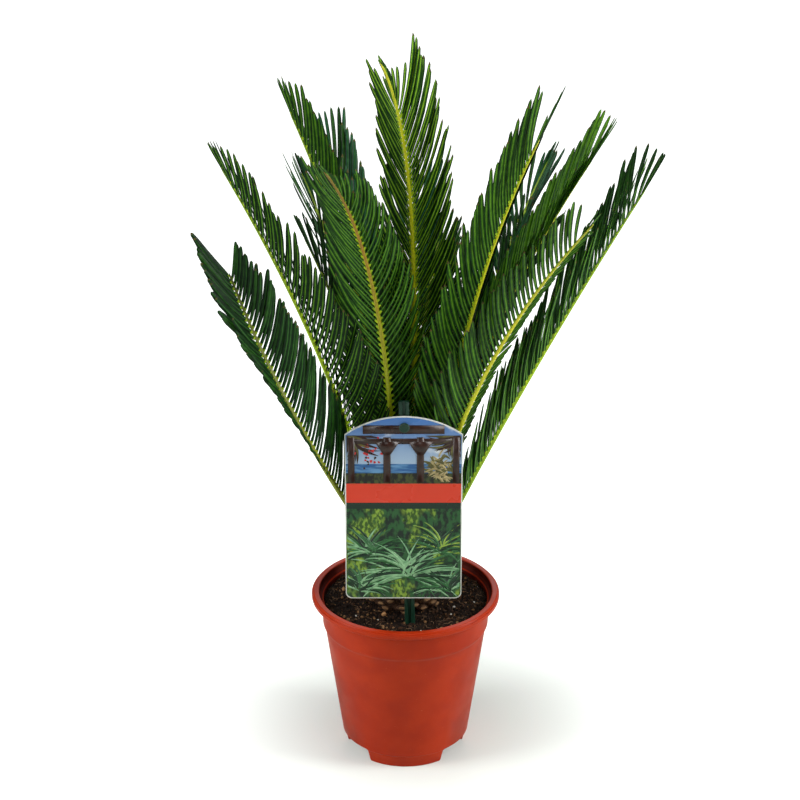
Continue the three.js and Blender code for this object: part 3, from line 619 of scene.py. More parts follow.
STICK_PLASTIC = finish("stick_green_plastic", (14, 52, 36), (20, 62, 44), 20.0, gloss=(0.3, 0.42),
                       grain=(5.0, 0.7, 0.4), bump=(0.05, 0.3), Specular_IOR_Level=0.5)
CARD_EDGE = finish("card_edge", (220, 222, 212), (236, 236, 228), 8.0, gloss=(0.3, 0.4),
                   grain=(3.0, 0.5, 0.5), bump=(0.02, 0.2))
CARD_STOCK = dict(mottle=30.0, gloss=(0.28, 0.36), grain=(6.0, 0.8, 0.5), bump=(0.02, 0.2))
CARD_BACK = finish("card_back", (222, 226, 214), (234, 236, 226), **CARD_STOCK)
CARD_BACK_GREEN = finish("card_back_green", (62, 118, 66), (72, 130, 76), **CARD_STOCK)


def ink(name, low, high):
    """A printed colour under the card's clear film."""
    return finish("ink_" + name, low, high, mottle=4.0, gloss=(0.26, 0.34), gloss_size=30.0,
                  grain=(6.0, 0.8, 0.5), bump=(0.02, 0.15), Specular_IOR_Level=0.5)


UMBER, OLIVE, TAN, FERN, JADE, PINE, RUST, LIME = range(8)
INKS = [
    ink("umber", (44, 24, 18), (60, 34, 26)),
    ink("olive", (84, 82, 40), (112, 106, 56)),
    ink("tan", (158, 140, 92), (190, 172, 122)),
    ink("fern", (46, 98, 54), (62, 118, 66)),
    ink("jade", (112, 164, 116), (150, 196, 146)),
    ink("pine", (12, 42, 24), (24, 60, 34)),
    ink("rust", (196, 40, 44), (220, 62, 60)),
    ink("lime", (120, 156, 44), (160, 188, 76)),
]
# Heights on the card, as shares of its own: the sea's horizon, the hedge's top, the tops of the red
# band and of the strip under it, and the top of the green ground.
PRINT = {"horizon": 0.745, "hedge": 0.695, "band": 0.638, "strip": 0.534, "ground": 0.5}


def card_front_finish():
    """The printed front: a sky that pales towards the sea, with drifting clouds; the sea under it,
    streaked sideways, with a dark hedge; a flat rust-red band with a dark green strip below; and
    mottled green ground with sunlit patches under that. x runs across the card and z up it, both
    from 0 to 1."""
    material, nodes, shader, place = new_material("card_front_print", Specular_IOR_Level=0.5)
    origin = np.array([CARD["x"] - CARD["width"] / 2, 0, CARD["bottom"]]) / 1000 + AXIS
    spans = np.array([CARD["width"], 100.0, CARD["height"]]) / 1000
    mapped = nodes.add("ShaderNodeMapping", Vector=place, Location=(-origin / spans).tolist(),
                       Scale=(1 / spans).tolist()).outputs[0]
    axes = nodes.add("ShaderNodeSeparateXYZ", Vector=mapped).outputs
    up = axes[2]

    def patches(vector, scale, detail, low, high, dark, lit):
        mask = nodes.spread(nodes.grain(vector, scale, detail), low, high)
        return nodes.mix(mask, shade(*dark), shade(*lit))

    def painted(picture, line, colour):
        return nodes.mix(nodes.math("LESS_THAN", up, PRINT[line]), picture, colour)

    sky = nodes.mix(nodes.spread(up, 0.7, 1.0), shade(176, 200, 224), shade(74, 124, 196))
    drift = nodes.add("ShaderNodeMapping", Vector=mapped, Scale=(3.0, 1.0, 9.0)).outputs[0]
    cloud = nodes.spread(nodes.grain(drift, 1.4, 5.0), 0.54, 0.72)
    sky = nodes.mix(cloud, sky, shade(238, 240, 244))
    streak = nodes.add("ShaderNodeMapping", Vector=mapped, Scale=(4.0, 1.0, 60.0)).outputs[0]
    sea = patches(streak, 1.5, 3.0, 0.4, 0.62, (44, 96, 156), (104, 156, 200))
    picture = painted(sky, "horizon", sea)
    hedge = patches(mapped, 30.0, 4.0, 0.42, 0.6, (22, 20, 12), (70, 78, 34))
    picture = painted(picture, "hedge", hedge)
    leafy = patches(mapped, 24.0, 4.0, 0.42, 0.58, (8, 30, 16), (40, 92, 44))
    sunlit = nodes.spread(nodes.grain(mapped, 5.0, 2.0), 0.52, 0.62)
    leafy = nodes.mix(sunlit, leafy, patches(mapped, 40.0, 3.0, 0.42, 0.6, (52, 84, 20), (142, 176, 56)))
    picture = painted(picture, "band", shade(228, 62, 34))
    picture = painted(picture, "strip", shade(14, 44, 30))
    picture = painted(picture, "ground", leafy)
    nodes.tree.links.new(picture, shader.inputs["Base Color"])
    lay_surface(nodes, shader, place, (0.26, 0.34), 30.0, (6.0, 0.8, 0.5), (0.02, 0.15))
    return material


# ---------------------------------------------------------------- pot


def notch_lift(angles):
    """How far the foot's lower edge is raised at each angle. With w the way round from the notch's
    middle: a shallow crown, a quarter ellipse down each side, and a small flare out to the ground."""
    n = NOTCH
    radius = POT["foot_radius"]
    away = (np.asarray(angles)[:, None] - np.array(n["angles"]) + 180) % 360 - 180
    w = np.abs(radius * np.sin(np.radians(np.clip(away, -90, 90)))).min(1)
    inner = n["half_width"] - n["corner"]
    crown = n["height"] - n["sag"] * (w / inner) ** 2
    side = n["toe"] + n["shoulder"] * np.sqrt(np.clip(1 - ((w - inner) / n["corner"]) ** 2, 0, 1))
    flare_share = np.clip((w - n["half_width"]) / n["flare"], 0, 1)
    flare = n["toe"] * (1 - np.sqrt(1 - (1 - flare_share) ** 2))
    ends = inner, n["half_width"], n["half_width"] + n["flare"]
    return np.select([w < end for end in ends], [crown, side, flare], 0.0)


def pot_angles():
    """Columns round the pot: every 2.5 degrees, and every third of a degree where a notch starts."""
    coarse = np.arange(0, 360, 2.5)
    near, far = NOTCH["fine"]
    middle = np.array(NOTCH["angles"])[:, None]
    fine = np.concatenate([middle + side * np.arange(near, far, 1 / 3) for side in (1, -1)], 1)
    away = np.abs((coarse[:, None] - np.array(NOTCH["angles"]) + 180) % 360 - 180).min(1)
    return np.sort(np.concatenate([coarse[(away < near) | (away > far)], fine.ravel() % 360]))


def pot_wall():
    """The wall, lip, collar and foot: one closed profile turned about the axis, with its lowest rows
    lifted into the three notches. Points nearer the axis than `painted_shade_limits` take a darker finish,
    painted shade inside the pot."""
    p = POT
    collar_foot = p["height"] - p["collar_height"]
    body_top = collar_foot - p["collar_step"]
    lip_foot = p["height"] - p["lip_height"]
    inner_foot = p["foot_top_radius"] - p["wall"]
    inner_collar = p["collar_radius"] - p["wall"]
    rows = [
        # radius, height, how far its corner is rounded
        (p["foot_radius"] - p["ring"], 0, 0.3),
        (p["foot_radius"], 0, 0.5),
        (p["foot_top_radius"] - 1.3, p["foot_height"] - 1.2, 0.6),
        (p["foot_top_radius"], p["foot_height"] - 0.2, 0.4),
        (p["body_radius"], body_top - 1.0, 1.6),
        (p["body_radius"] + 0.9, body_top + 3.2, 1.2),
        (p["collar_radius"] - 0.2, collar_foot - 3.4, 1.6),
        (p["collar_radius"], collar_foot + 4, 2.0),
        (p["collar_radius"] + 0.1, lip_foot - 2.6, 1.6),
        (p["collar_radius"] + 2.2, lip_foot, 1.0),
        (p["rim_radius"], lip_foot, 1.1),
        (p["rim_radius"], p["height"] - 1.5, 0.6),
        (p["rim_radius"] - 0.8, p["height"] - 1.6, 0.2),
        (p["rim_radius"] - 1.3, p["height"], 0.8),
        (p["lip_inner"], p["height"], 1.0),
        (p["lip_inner"] - 0.4, lip_foot + 1.0, 0.8),
        (inner_collar + 0.2, lip_foot - 1.6, 1.0),
        (inner_collar, collar_foot, 1.5),
        (p["body_radius"] - p["wall"], body_top, 1.5),
        (inner_foot, p["floor_height"] + p["wall"] + 2, 1.5),
        (inner_foot - 2, p["floor_height"] + p["wall"], 0.5),
        (inner_foot - 3, p["floor_height"] + p["wall"], 0.3),
        (inner_foot - 3, p["floor_height"], 0.5),
    ]
    rows = np.array(rows, float)
    profile = softened(rows[:, :2], rows[:, 2], steps=4, closed=True)
    angles = pot_angles()
    rings = turned(profile, angles)
    lift = notch_lift(angles)
    stretch = np.clip(1 - rings[..., 2] / (p["floor_height"] - 0.3), 0, 1)
    outside = rings[..., 2] < p["floor_height"] - 0.3
    rings[..., 2] += np.where(outside, lift * stretch, 0)
    # The inside wall above the floor takes the darker finish: painted shade where the lip and wall keep the
    # lights off it.
    painted_shade_limits = np.array([
        # height, radius
        (0, 0), (12, 50), (body_top, p["body_radius"] - 0.8), (collar_foot, p["collar_radius"] - 0.9),
        (lip_foot - 1, p["collar_radius"] - 0.6), (lip_foot + 1, 69.3), (p["height"] - 0.5, 69.3),
        (p["height"], 68),
    ])
    # These rows get the darker finish of painted shade.
    within = profile[:, 0] < np.interp(profile[:, 1], *painted_shade_limits.T)
    within = within & np.roll(within, -1)
    return ring_shell(rings, np.repeat(within.astype(int), len(angles)))


def pot_floor():
    """The floor with its six drain holes, as six sectors and a hub. Each sector is a ring of points
    round its hole that spreads out, share by share, to the sector's own edge: along each direction
    the nearest of its two straight sides, its inner circle and the wall."""
    inner, outer = 9.0, POT["foot_top_radius"] - POT["wall"] - 2.4
    half = np.pi / DRAIN["count"]
    directions = np.linspace(0, 2 * np.pi, 73)[:-1]
    way = np.stack([np.cos(directions), np.sin(directions)], -1)
    hole = np.array([DRAIN["circle"], 0.0])

    def far_to_circle(radius, sign):
        b = way @ hole
        inside = b * b - (hole @ hole - radius * radius)
        reach = -b + sign * np.sqrt(np.clip(inside, 0, None))
        return np.where((inside > 0) & (reach > 0), reach, np.inf)

    reaches = [far_to_circle(outer, 1), far_to_circle(inner, -1)]
    for side in (1, -1):
        normal = np.array([-np.sin(half), side * np.cos(half)])
        toward = way @ normal
        ahead = toward > 1e-6
        reaches.append(np.where(ahead, -(hole @ normal) / np.where(ahead, toward, 1), np.inf))
    reach = np.min(reaches, axis=0)
    shares = np.array([0.0, 0.12, 0.5, 1.0])
    radii = DRAIN["radius"] + (reach - DRAIN["radius"]) * shares[:, None]
    flat = hole + radii[..., None] * way
    low, high = POT["floor_height"] + 0.05, POT["floor_height"] + POT["wall"] - 0.05
    layers = [(flat, high), (flat[::-1], low)]
    rings = np.concatenate([
        np.concatenate([part, np.full((*part.shape[:2], 1), height)], -1) for part, height in layers])
    skins = []
    for number in range(DRAIN["count"]):
        turn = 2 * np.pi * number / DRAIN["count"]
        spin = np.array([[np.cos(turn), -np.sin(turn), 0], [np.sin(turn), np.cos(turn), 0], [0, 0, 1]])
        skins.append(ring_shell(rings @ spin.T))
    hub = turned([(inner + 0.02, low), (inner + 0.02, high)], np.arange(0, 360, 5))
    skins.append(tubes(hub[None]))
    return skins


def build_pot():
    """The pot, with the small gate mark of its moulding in the middle of the floor."""
    gate = turned([(0.0, 12.2), (1.2, 12.2), (1.6, 12.9)], np.arange(0, 360, 15))
    make_piece("pot_plastic", [pot_wall(), *pot_floor(), tubes(gate[None, 1:])],
               [TERRACOTTA, TERRACOTTA_PAINTED_SHADE], ["pot"])


# ---------------------------------------------------------------- soil


def soil_height(x, y):
    """The peat's surface: level, falling a little at the wall, heaped softly round the trunk, with
    relief in three sizes."""
    radius = np.hypot(x, y)
    edge = POT["collar_radius"] - POT["wall"]
    at_wall = np.clip((radius - (edge - SOIL["edge_width"])) / SOIL["edge_width"], 0, 1)
    drop = SOIL["edge_drop"] * at_wall**2
    heap = 1.2 * np.exp(-((np.clip(radius - 26, 0, None) / 9) ** 2))
    place = np.stack([x, y, np.zeros_like(x)], -1)
    relief = SOIL["relief"] * (0.6 * noise(place, 14.0, 3, 3) + 0.35 * noise(place, 3.2, 4, 2))
    return SOIL["top"] - drop + heap + relief


def build_soil():
    """The peat as one plug down to the pot's floor, with crumbs, pebbles and root hairs on it."""
    p = POT
    random = np.random.default_rng(11)
    edge = p["collar_radius"] - p["wall"] - GAP
    collar_foot = p["height"] - p["collar_height"]
    angles = np.arange(0, 360, 2.0)
    wall = turned([
        (p["foot_top_radius"] - p["wall"] - 3, p["floor_height"] + p["wall"] + GAP),
        (p["foot_top_radius"] - p["wall"] - GAP, p["floor_height"] + p["wall"] + 2.5),
        (p["body_radius"] - p["wall"] - GAP, collar_foot - p["collar_step"]),
        (edge, collar_foot + 1),
    ], angles)
    radii = np.r_[edge, edge - 0.4, np.linspace(edge - 1.3, 1.0, 56)]
    top = turned([(radius, 0) for radius in radii], angles)
    top[..., 2] = soil_height(top[..., 0], top[..., 1])
    plug = tubes(np.concatenate([wall, top])[None], head=(0, 0, SOIL["top"] + 1))

    count = 3400
    radius = edge * np.sqrt(random.uniform(0.12, 0.985, count))
    angle = random.uniform(0, 2 * np.pi, count)
    x, y = radius * np.cos(angle), radius * np.sin(angle)
    size = random.lognormal(-0.28, 0.42, count).clip(0.35, 2.3)
    place = np.stack([x, y, soil_height(x, y) + size * 0.25], -1)
    rings, foot, head = lumps(place, size, random, rows=2, columns=5)
    tone = random.choice([1, 2, 3], count, p=[0.6, 0.31, 0.09])
    loose = [tubes(rings, finish=tone[:, None, None], foot=foot, head=head)]

    # across, away and size of each
    stones = np.array([(-17.0, -30.7, 2.7), (-50.0, 12.0, 1.8), (20.0, 52.0, 2.2)])
    bits = np.array([
        (38.6, -15.7, 1.1), (36.0, -27.2, 0.9), (54.7, -8.8, 0.9), (-21.7, -37.7, 0.8), (-39.2, -30.3, 0.8),
        (12.0, -55.0, 0.7), (-8.0, 50.0, 1.0), (44.0, 30.0, 0.8), (-46.0, 34.0, 0.9), (58.0, 18.0, 0.7),
    ])
    for table, material in ((stones, PEBBLE), (bits, WHITE_BIT)):
        x, y, size = table.T
        place = np.stack([x, y, soil_height(x, y) + size * 0.5], -1)
        rings, foot, head = lumps(place, size, random, rows=5, columns=9, rough=0.12)
        loose.append(tubes(rings, finish=EARTHS.index(material), foot=foot, head=head))

    make_piece("soil_bed", [plug], [PEAT], ["soil"])
    make_piece("soil_crumbs", loose, EARTHS, ["soil"], smooth=False)

    hairs = 150
    radius = edge * np.sqrt(random.uniform(0.2, 0.9, hairs))
    angle = random.uniform(0, 2 * np.pi, hairs)
    start = np.stack([radius * np.cos(angle), radius * np.sin(angle)], -1)
    length = random.uniform(3, 13, hairs)
    start[:2], length[:2] = [(-12.4, -9.0), (19.5, -40.7)], (20.0, 30.0)
    make_piece("soil_root_hairs", [strands_on_soil(start, length, random)], [ROOT_HAIR], ["soil"])


def lumps(place, size, random, rows, columns, rough=0.22):
    """Rounded lumps of earth: rings of latitude on a ball of that size, each point pushed in or out
    at random, flattened a little and turned at random. Returns rings, lower poles and upper poles."""
    count = len(place)
    latitude = np.pi * (np.arange(1, rows + 1) / (rows + 1) - 0.5)
    every_other = 0.5 / columns * (np.arange(rows)[:, None] % 2)
    longitude = 2 * np.pi * (np.arange(columns)[None] / columns + every_other)
    ball = around(np.cos(latitude)[:, None], longitude, np.sin(latitude)[:, None])
    ball = np.concatenate([ball.reshape(-1, 3), [[0, 0, -1], [0, 0, 1]]])
    shape = ball[None] * random.uniform(1 - rough, 1 + rough, (count, len(ball), 1))
    shape = shape * random.uniform(0.65, 1.15, (count, 1, 3)) * np.asarray(size)[:, None, None]
    spins, _ = np.linalg.qr(random.normal(size=(count, 3, 3)))
    shape = np.einsum("npi,nij->npj", shape, spins) + place[:, None]
    return shape[:, :-2].reshape(count, rows, columns, 3), shape[:, -2], shape[:, -1]


def strands_on_soil(start, length, random):
    """Fine root hairs that lie on the peat: each heads off at an angle that turns as it goes, and
    follows the peat's height, 0.3 mm above it."""
    steps = 9
    heading = random.uniform(0, 2 * np.pi, len(start))[:, None]
    bend = random.uniform(-1.6, 1.6, len(start))[:, None]
    share = np.linspace(0, 1, steps)
    way = heading + bend * share + 0.5 * np.sin(share * 9 + heading * 5)
    walk = np.stack([np.cos(way), np.sin(way)], -1) * (length / steps)[:, None, None]
    flat = start[:, None] + np.cumsum(walk, 1)
    reach = np.hypot(flat[..., 0], flat[..., 1])
    flat = flat * np.minimum(1, 61 / np.maximum(reach, 1e-6))[..., None]
    height = soil_height(flat[..., 0], flat[..., 1]) + 0.3 + 0.5 * np.sin(share * np.pi)
    return thin_strands(np.concatenate([flat, height[..., None]], -1), 0.24, sides=4)


def thin_strands(paths, thickness, sides=3):
    """Round strands along paths (strands, points, 3): in the plane across each path's own direction
    a ring of `sides` points, whose radius shrinks to a third at both ends."""
    along = unit(np.gradient(paths, axis=1))
    reference = np.where(np.abs(along[..., 2:]) > 0.9, [1.0, 0, 0], [0, 0, 1.0])
    sideways = unit(np.cross(along, reference))
    upward = np.cross(sideways, along)
    share = np.linspace(0, 1, paths.shape[1])
    radius = thickness * (0.33 + 0.67 * np.sin(np.pi * share) ** 0.5)
    angle = 2 * np.pi * np.arange(sides) / sides
    ring = sideways[:, :, None] * np.cos(angle)[:, None] + upward[:, :, None] * np.sin(angle)[:, None]
    return tubes(paths[:, :, None] + ring * radius[None, :, None, None])


# ---------------------------------------------------------------- trunk


def trunk_radius(height):
    """The bulb's radius at a height above the soil, read from its outline."""
    shares = [0.0, *[up for up, _ in TRUNK["outline"]], 1.0]
    radii = [TRUNK["foot_radius"], *[TRUNK["radius"] * across for _, across in TRUNK["outline"]], 2.0]
    return np.interp(np.asarray(height) / TRUNK["height"], shares, radii)


def trunk_bulb():
    """The bulb under the leaf bases: its outline turned about the axis, with soft relief."""
    ground, tall = SOIL["top"] + GAP, TRUNK["height"]
    heights = tall * np.r_[-0.03, np.linspace(0, 0.98, 44)]
    angles = np.arange(0, 360, 3.0)
    bulb = turned([(trunk_radius(max(h, 0)) - 1.8, ground + h) for h in heights], angles)
    push = 1.1 * noise(bulb, 7.0, 5, 3)
    outward = unit(bulb * [1, 1, 0] + [0, 0, 1e-6])
    bulb = bulb + outward * push[..., None]
    return tubes(bulb[None], head=(0, 0, ground + tall - 1.6))


def leaf_bases(random, count=128):
    """The stubs of old leaf bases. Each stands a golden angle further round and a little higher than
    the last, climbs more steeply towards the top, and is a lens in section that thins to its cut."""
    ground, tall = SOIL["top"] + GAP, TRUNK["height"]
    number = np.arange(count)
    turn = number * np.radians(GOLDEN_ANGLE) + random.normal(0, 0.05, count)
    share = (number + 0.5) / count
    height = tall * (0.03 + 0.9 * share) + random.normal(0, 0.4, count)
    radius = trunk_radius(height) - 3.4
    away = around(1, turn, 0)
    beside = np.cross(UP, away)
    climb = np.radians(blend(14, 66, share) + random.normal(0, 5, count))[:, None]
    along = away * np.cos(climb) + UP * np.sin(climb)
    upward = np.cross(beside, along)
    place = away * radius[:, None] + UP * (ground + height)[:, None]
    length = random.uniform(6.0, 8.0, count)[:, None, None, None]
    wide = random.uniform(3.9, 5.0, count)[:, None, None, None]
    rows = np.array([0.0, 0.45, 0.75, 0.93, 1.0])
    broad = np.array([1.0, 1.0, 0.86, 0.62, 0.42])
    thick = np.array([0.62, 0.56, 0.42, 0.28, 0.18])
    corner = 2 * np.pi * np.arange(8) / 8
    lens = np.stack([np.cos(corner), np.sign(np.sin(corner)) * np.abs(np.sin(corner)) ** 1.3], -1)
    rings = (
        place[:, None, None]
        + along[:, None, None] * rows[None, :, None, None] * length
        + beside[:, None, None] * (broad[:, None] * lens[:, 0])[None, ..., None] * wide
        + upward[:, None, None] * (thick[:, None] * lens[:, 1])[None, ..., None] * wide
    )
    rings = rings + 0.25 * noise(rings, 1.8, 6, 2)[..., None]
    return tubes(rings, finish=np.array([BASE, BASE, BASE, CUT])[None, :, None], head_finish=CUT)


def pointed_scales(random, count=84):
    """Pointed scales on top of the bulb, between the fronds: flat blades that spread from its middle
    by the golden angle, lean outwards more at its edge and end in a woolly tip."""
    crown = SOIL["top"] + GAP + TRUNK["height"]
    turn = np.arange(count) * np.radians(GOLDEN_ANGLE) + random.normal(0, 0.1, count)
    out = 3 + 21 * np.sqrt((np.arange(count) + 0.5) / count)
    away = around(1, turn, 0)
    beside = np.cross(UP, away)
    span = random.uniform(11, 17, count)
    step = np.linspace(0, 1, 6)
    lean = np.radians(blend(84, 58, out / 24) + random.normal(0, 6, count))[:, None] + 0.25 * step
    walk = away[:, None] * np.cos(lean)[..., None] + UP * np.sin(lean)[..., None]
    low = np.interp(out, [0, 12, 20, 25], [crown - 3, crown - 4, crown - 7, crown - 10])
    path = away[:, None] * out[:, None, None] + UP * low[:, None, None]
    path = path + walk * step[None, :, None] * span[:, None, None]
    face = np.cross(beside[:, None], unit(walk))
    half = 3.0 * np.array([1.0, 1.05, 0.95, 0.7, 0.4, 0.12])
    corner = 2 * np.pi * np.arange(8) / 8
    flat = np.stack([np.cos(corner), 0.22 * np.sin(corner) - 0.12 * np.cos(corner) ** 2], -1)
    rings = (
        path[:, :, None]
        + beside[:, None, None] * (half[:, None] * flat[:, 0])[None, ..., None]
        + face[:, :, None] * (half[:, None] * flat[:, 1] + 0.25)[None, ..., None]
    )
    finish = np.array([BASE, BASE, BASE, FIBRE, FIBRE])
    return tubes(rings, finish=finish[None, :, None], head_finish=FIBRE)


def crown_fibres(random, count=900):
    """Brown wool on top of the bulb: fine strands that lean outwards and curl as share^2."""
    angle = random.uniform(0, 2 * np.pi, count)
    out = 25 * np.sqrt(random.uniform(0.02, 1, count))
    foot = around(out, angle, np.interp(out, [0, 14, 20, 25], [165.5, 164.5, 160, 154]))
    lean = unit(around(1, angle, 1.6) + random.normal(0, 0.45, (count, 3)))
    curl = random.normal(0, 3.0, (count, 3)) * [1, 1, 0.4]
    step = np.linspace(0, 1, 5)[None, :, None]
    length = random.uniform(5, 12, count)[:, None, None]
    return thin_strands(foot[:, None] + lean[:, None] * step * length + curl[:, None] * step**2, 0.2)


def build_trunk():
    """The bulb, set all over with old leaf bases, with pointed scales and wool between the fronds."""
    random = np.random.default_rng(21)
    bark, scales, wool = [trunk_bulb(), leaf_bases(random)], pointed_scales(random), crown_fibres(random)
    make_piece("trunk_bark", bark, BARKS, ["trunk"])
    make_piece("crown_scales", [scales], BARKS, ["trunk"])
    make_piece("crown_wool", [wool], [WOOL], ["trunk"])


# ---------------------------------------------------------------- label


def stick_point(height, back=0.0):
    """Where the leaning stick's middle is at a height, that far behind its front face."""
    x = STICK["x"] - (height - SOIL["top"]) * np.tan(np.radians(STICK["lean"]))
    return np.array([x, CARD["y"] + CARD["thickness"] / 2 + GAP + back, height])


def build_stick():
    """The stick: an outline with a channel down its front, rounded at every corner and carried
    straight up along its lean. The peg and the flat button are turned about the line through the
    card."""
    half, depth = STICK["width"] / 2, STICK["depth"]
    channel, floor = STICK["groove_width"] / 2, STICK["groove"]
    corners = np.array([
        # across, away, how far it is rounded
        (-half, depth, 0.8), (-half, 0, 0.8), (-channel, 0, 0.35), (-channel + 0.5, floor, 0.35),
        (channel - 0.5, floor, 0.35), (channel, 0, 0.35), (half, 0, 0.8), (half, depth, 0.8),
    ])
    outline = softened(corners[:, :2], corners[:, 2], steps=3, guard=0.3, closed=True)
    bottom, top = STICK["bottom"], STICK["top"]
    heights = np.r_[bottom, bottom + 1, np.linspace(100, 318, 12), top - 0.7, top - 0.2, top]
    shrink = np.ones(len(heights))
    shrink[[0, -1]], shrink[-2] = 0.86, 0.95
    middle = np.array([0, depth / 2])
    flat = middle + (outline[None] - middle) * shrink[:, None, None]
    base = np.array([stick_point(h) for h in heights])
    rings = base[:, None] + np.stack([flat[..., 0], flat[..., 1], np.zeros(flat.shape[:2])], -1)
    end = np.array([0, depth - 0.5, 0])
    bar = tubes(rings[None], foot=base[0] + end, head=base[-1] + end)

    centre = stick_point(BUTTON["height"])
    front = CARD["y"] - CARD["thickness"] / 2 - GAP
    face = front - BUTTON["thickness"]
    peg, rim = BUTTON["peg_radius"], BUTTON["radius"]
    profile = softened([
        (0.2, centre[1] + 2.6), (peg, centre[1] + 2.6), (peg, front), (rim - BUTTON["bevel"], front),
        (rim, front - 0.5), (rim, face + 0.5), (rim - 1.0, face), (rim - 1.4, face + 0.25),
        (0.2, face + 0.25),
    ], 0.35, steps=3, guard=0.2)
    x, z, y = np.moveaxis(turned(profile, np.arange(0, 360, 10)), -1, 0)
    rings = np.stack([centre[0] + x, y, centre[2] + z], -1)
    make_piece("stick_with_button", [bar, tubes(rings[None])], [STICK_PLASTIC], ["label_stick"])


def card_outline():
    """The card's edge from its middle bottom round to the right: rounded lower corners, straight
    sides, and the arch as an arc of the circle through its two shoulders and its top."""
    half, top = CARD["width"] / 2, CARD["height"]
    radius = (half * half + CARD["arch"] ** 2) / (2 * CARD["arch"])
    reach = np.arcsin(half / radius)
    sweep = np.linspace(reach, -reach, 41)
    arch = np.stack([radius * np.sin(sweep), top - radius + radius * np.cos(sweep)], -1)
    t = np.linspace(0, np.pi / 2, 9)
    corner = CARD["corner"]
    right = np.stack([half - corner + corner * np.sin(t), corner - corner * np.cos(t)], -1)
    side = np.stack([np.full(12, half), np.linspace(corner, top - CARD["arch"], 14)[1:-1]], -1)
    base = np.stack([np.linspace(-half + corner, half - corner, 14)[1:-1], np.zeros(12)], -1)
    mirror = [-1, 1]
    return np.concatenate([base, right, side, arch, side[::-1] * mirror, right[::-1] * mirror])


def on_card(flat, depth):
    """Points across and up the card as points round the pot's axis, at that depth."""
    x = CARD["x"] + flat[..., 0]
    return np.stack([x, np.broadcast_to(depth, x.shape), CARD["bottom"] + flat[..., 1]], -1)


def build_card():
    """The card as rings of its own outline, drawn in towards its middle: the back, the rounded edge
    and the front. Printed shapes lie on the front as a thin film of ink."""
    outline = card_outline()
    middle = np.array([0, CARD["height"] / 2])
    half = CARD["thickness"] / 2
    away = outline - middle
    span = np.linalg.norm(away, axis=1, keepdims=True)
    front_shares = [0.15, 0.4, 0.65, 0.85]
    rows = [(share, None, half) for share in front_shares] + [
        (None, 1.0, half), (None, 0.5, half), (None, 0.12, half * 0.9), (None, 0.0, half * 0.6),
        (None, 0.0, -half * 0.6), (None, 0.12, -half * 0.9), (None, 0.5, -half), (None, 1.0, -half),
    ] + [(share, None, -half) for share in front_shares[::-1]]
    rings = []
    for share, inset, y in rows:
        flat = middle + away * share if inset is None else outline - away / span * inset
        rings.append(on_card(flat, CARD["y"] + y))
    edge, back, front, green = range(4)
    finishes = np.array([back] * 5 + [edge] * 6 + [front] * 4)[:, None]
    card = tubes(np.array(rings)[None], finish=finishes[None], foot_finish=back, head_finish=front)
    band_corners = softened([(-41, 6), (41, 6), (41, 30), (-41, 30)], 3.0, steps=5, closed=True)
    band = film(band_corners, 0.05, green, back=True)
    materials = [CARD_EDGE, CARD_BACK, card_front_finish(), CARD_BACK_GREEN]
    make_piece("card", [card, band], materials, ["label_card"])
    make_piece("card_print", printed_shapes(), INKS, ["label_card"])


def film(corners, proud, finish, back=False):
    """A closed flat patch with the given corners across and up the card, that far proud of its
    front or back face."""
    side = 1 if back else -1
    face = CARD["y"] + side * CARD["thickness"] / 2
    rings = [on_card(corners, depth) for depth in (face - side * 0.1, face + side * proud)]
    return tubes(np.array(rings)[None], finish=finish)


def strap_leaves(start, heading, bend, length, width, finish, random, clip):
    """Flat strap leaves on the card: each path starts in its heading (degrees from straight up) and
    turns evenly by its bend. Its half width is width * (share^0.4 up to a fifth) * (1 - share^2.4),
    and points are kept inside the clip box (left, right, bottom, top)."""
    count, steps = len(start), 12
    share = np.linspace(0, 1, steps)
    angle = np.radians(heading[:, None] + bend[:, None] * share)
    way = np.stack([np.sin(angle), np.cos(angle)], -1)
    path = start[:, None] + np.cumsum(way, 1) * (length / steps)[:, None, None]
    side = np.stack([way[..., 1], -way[..., 0]], -1)
    half = width[:, None] * np.clip(0.35 + share / 0.25, 0, 1) * (1 - share**2.4) + 0.08
    left, right = path - side * half[..., None], path + side * half[..., None]
    level = random.uniform(0.06, 0.3, count)[:, None]
    face = CARD["y"] - CARD["thickness"] / 2

    def at(flat, depth):
        return on_card(np.clip(flat, clip[::2], clip[1::2]), depth)

    rings = np.stack([at(left, face + 0.1), at(left, face - level), at(path, face - level - 0.05),
                      at(right, face - level), at(right, face + 0.1)], 2)
    return tubes(rings, finish=finish[:, None, None])


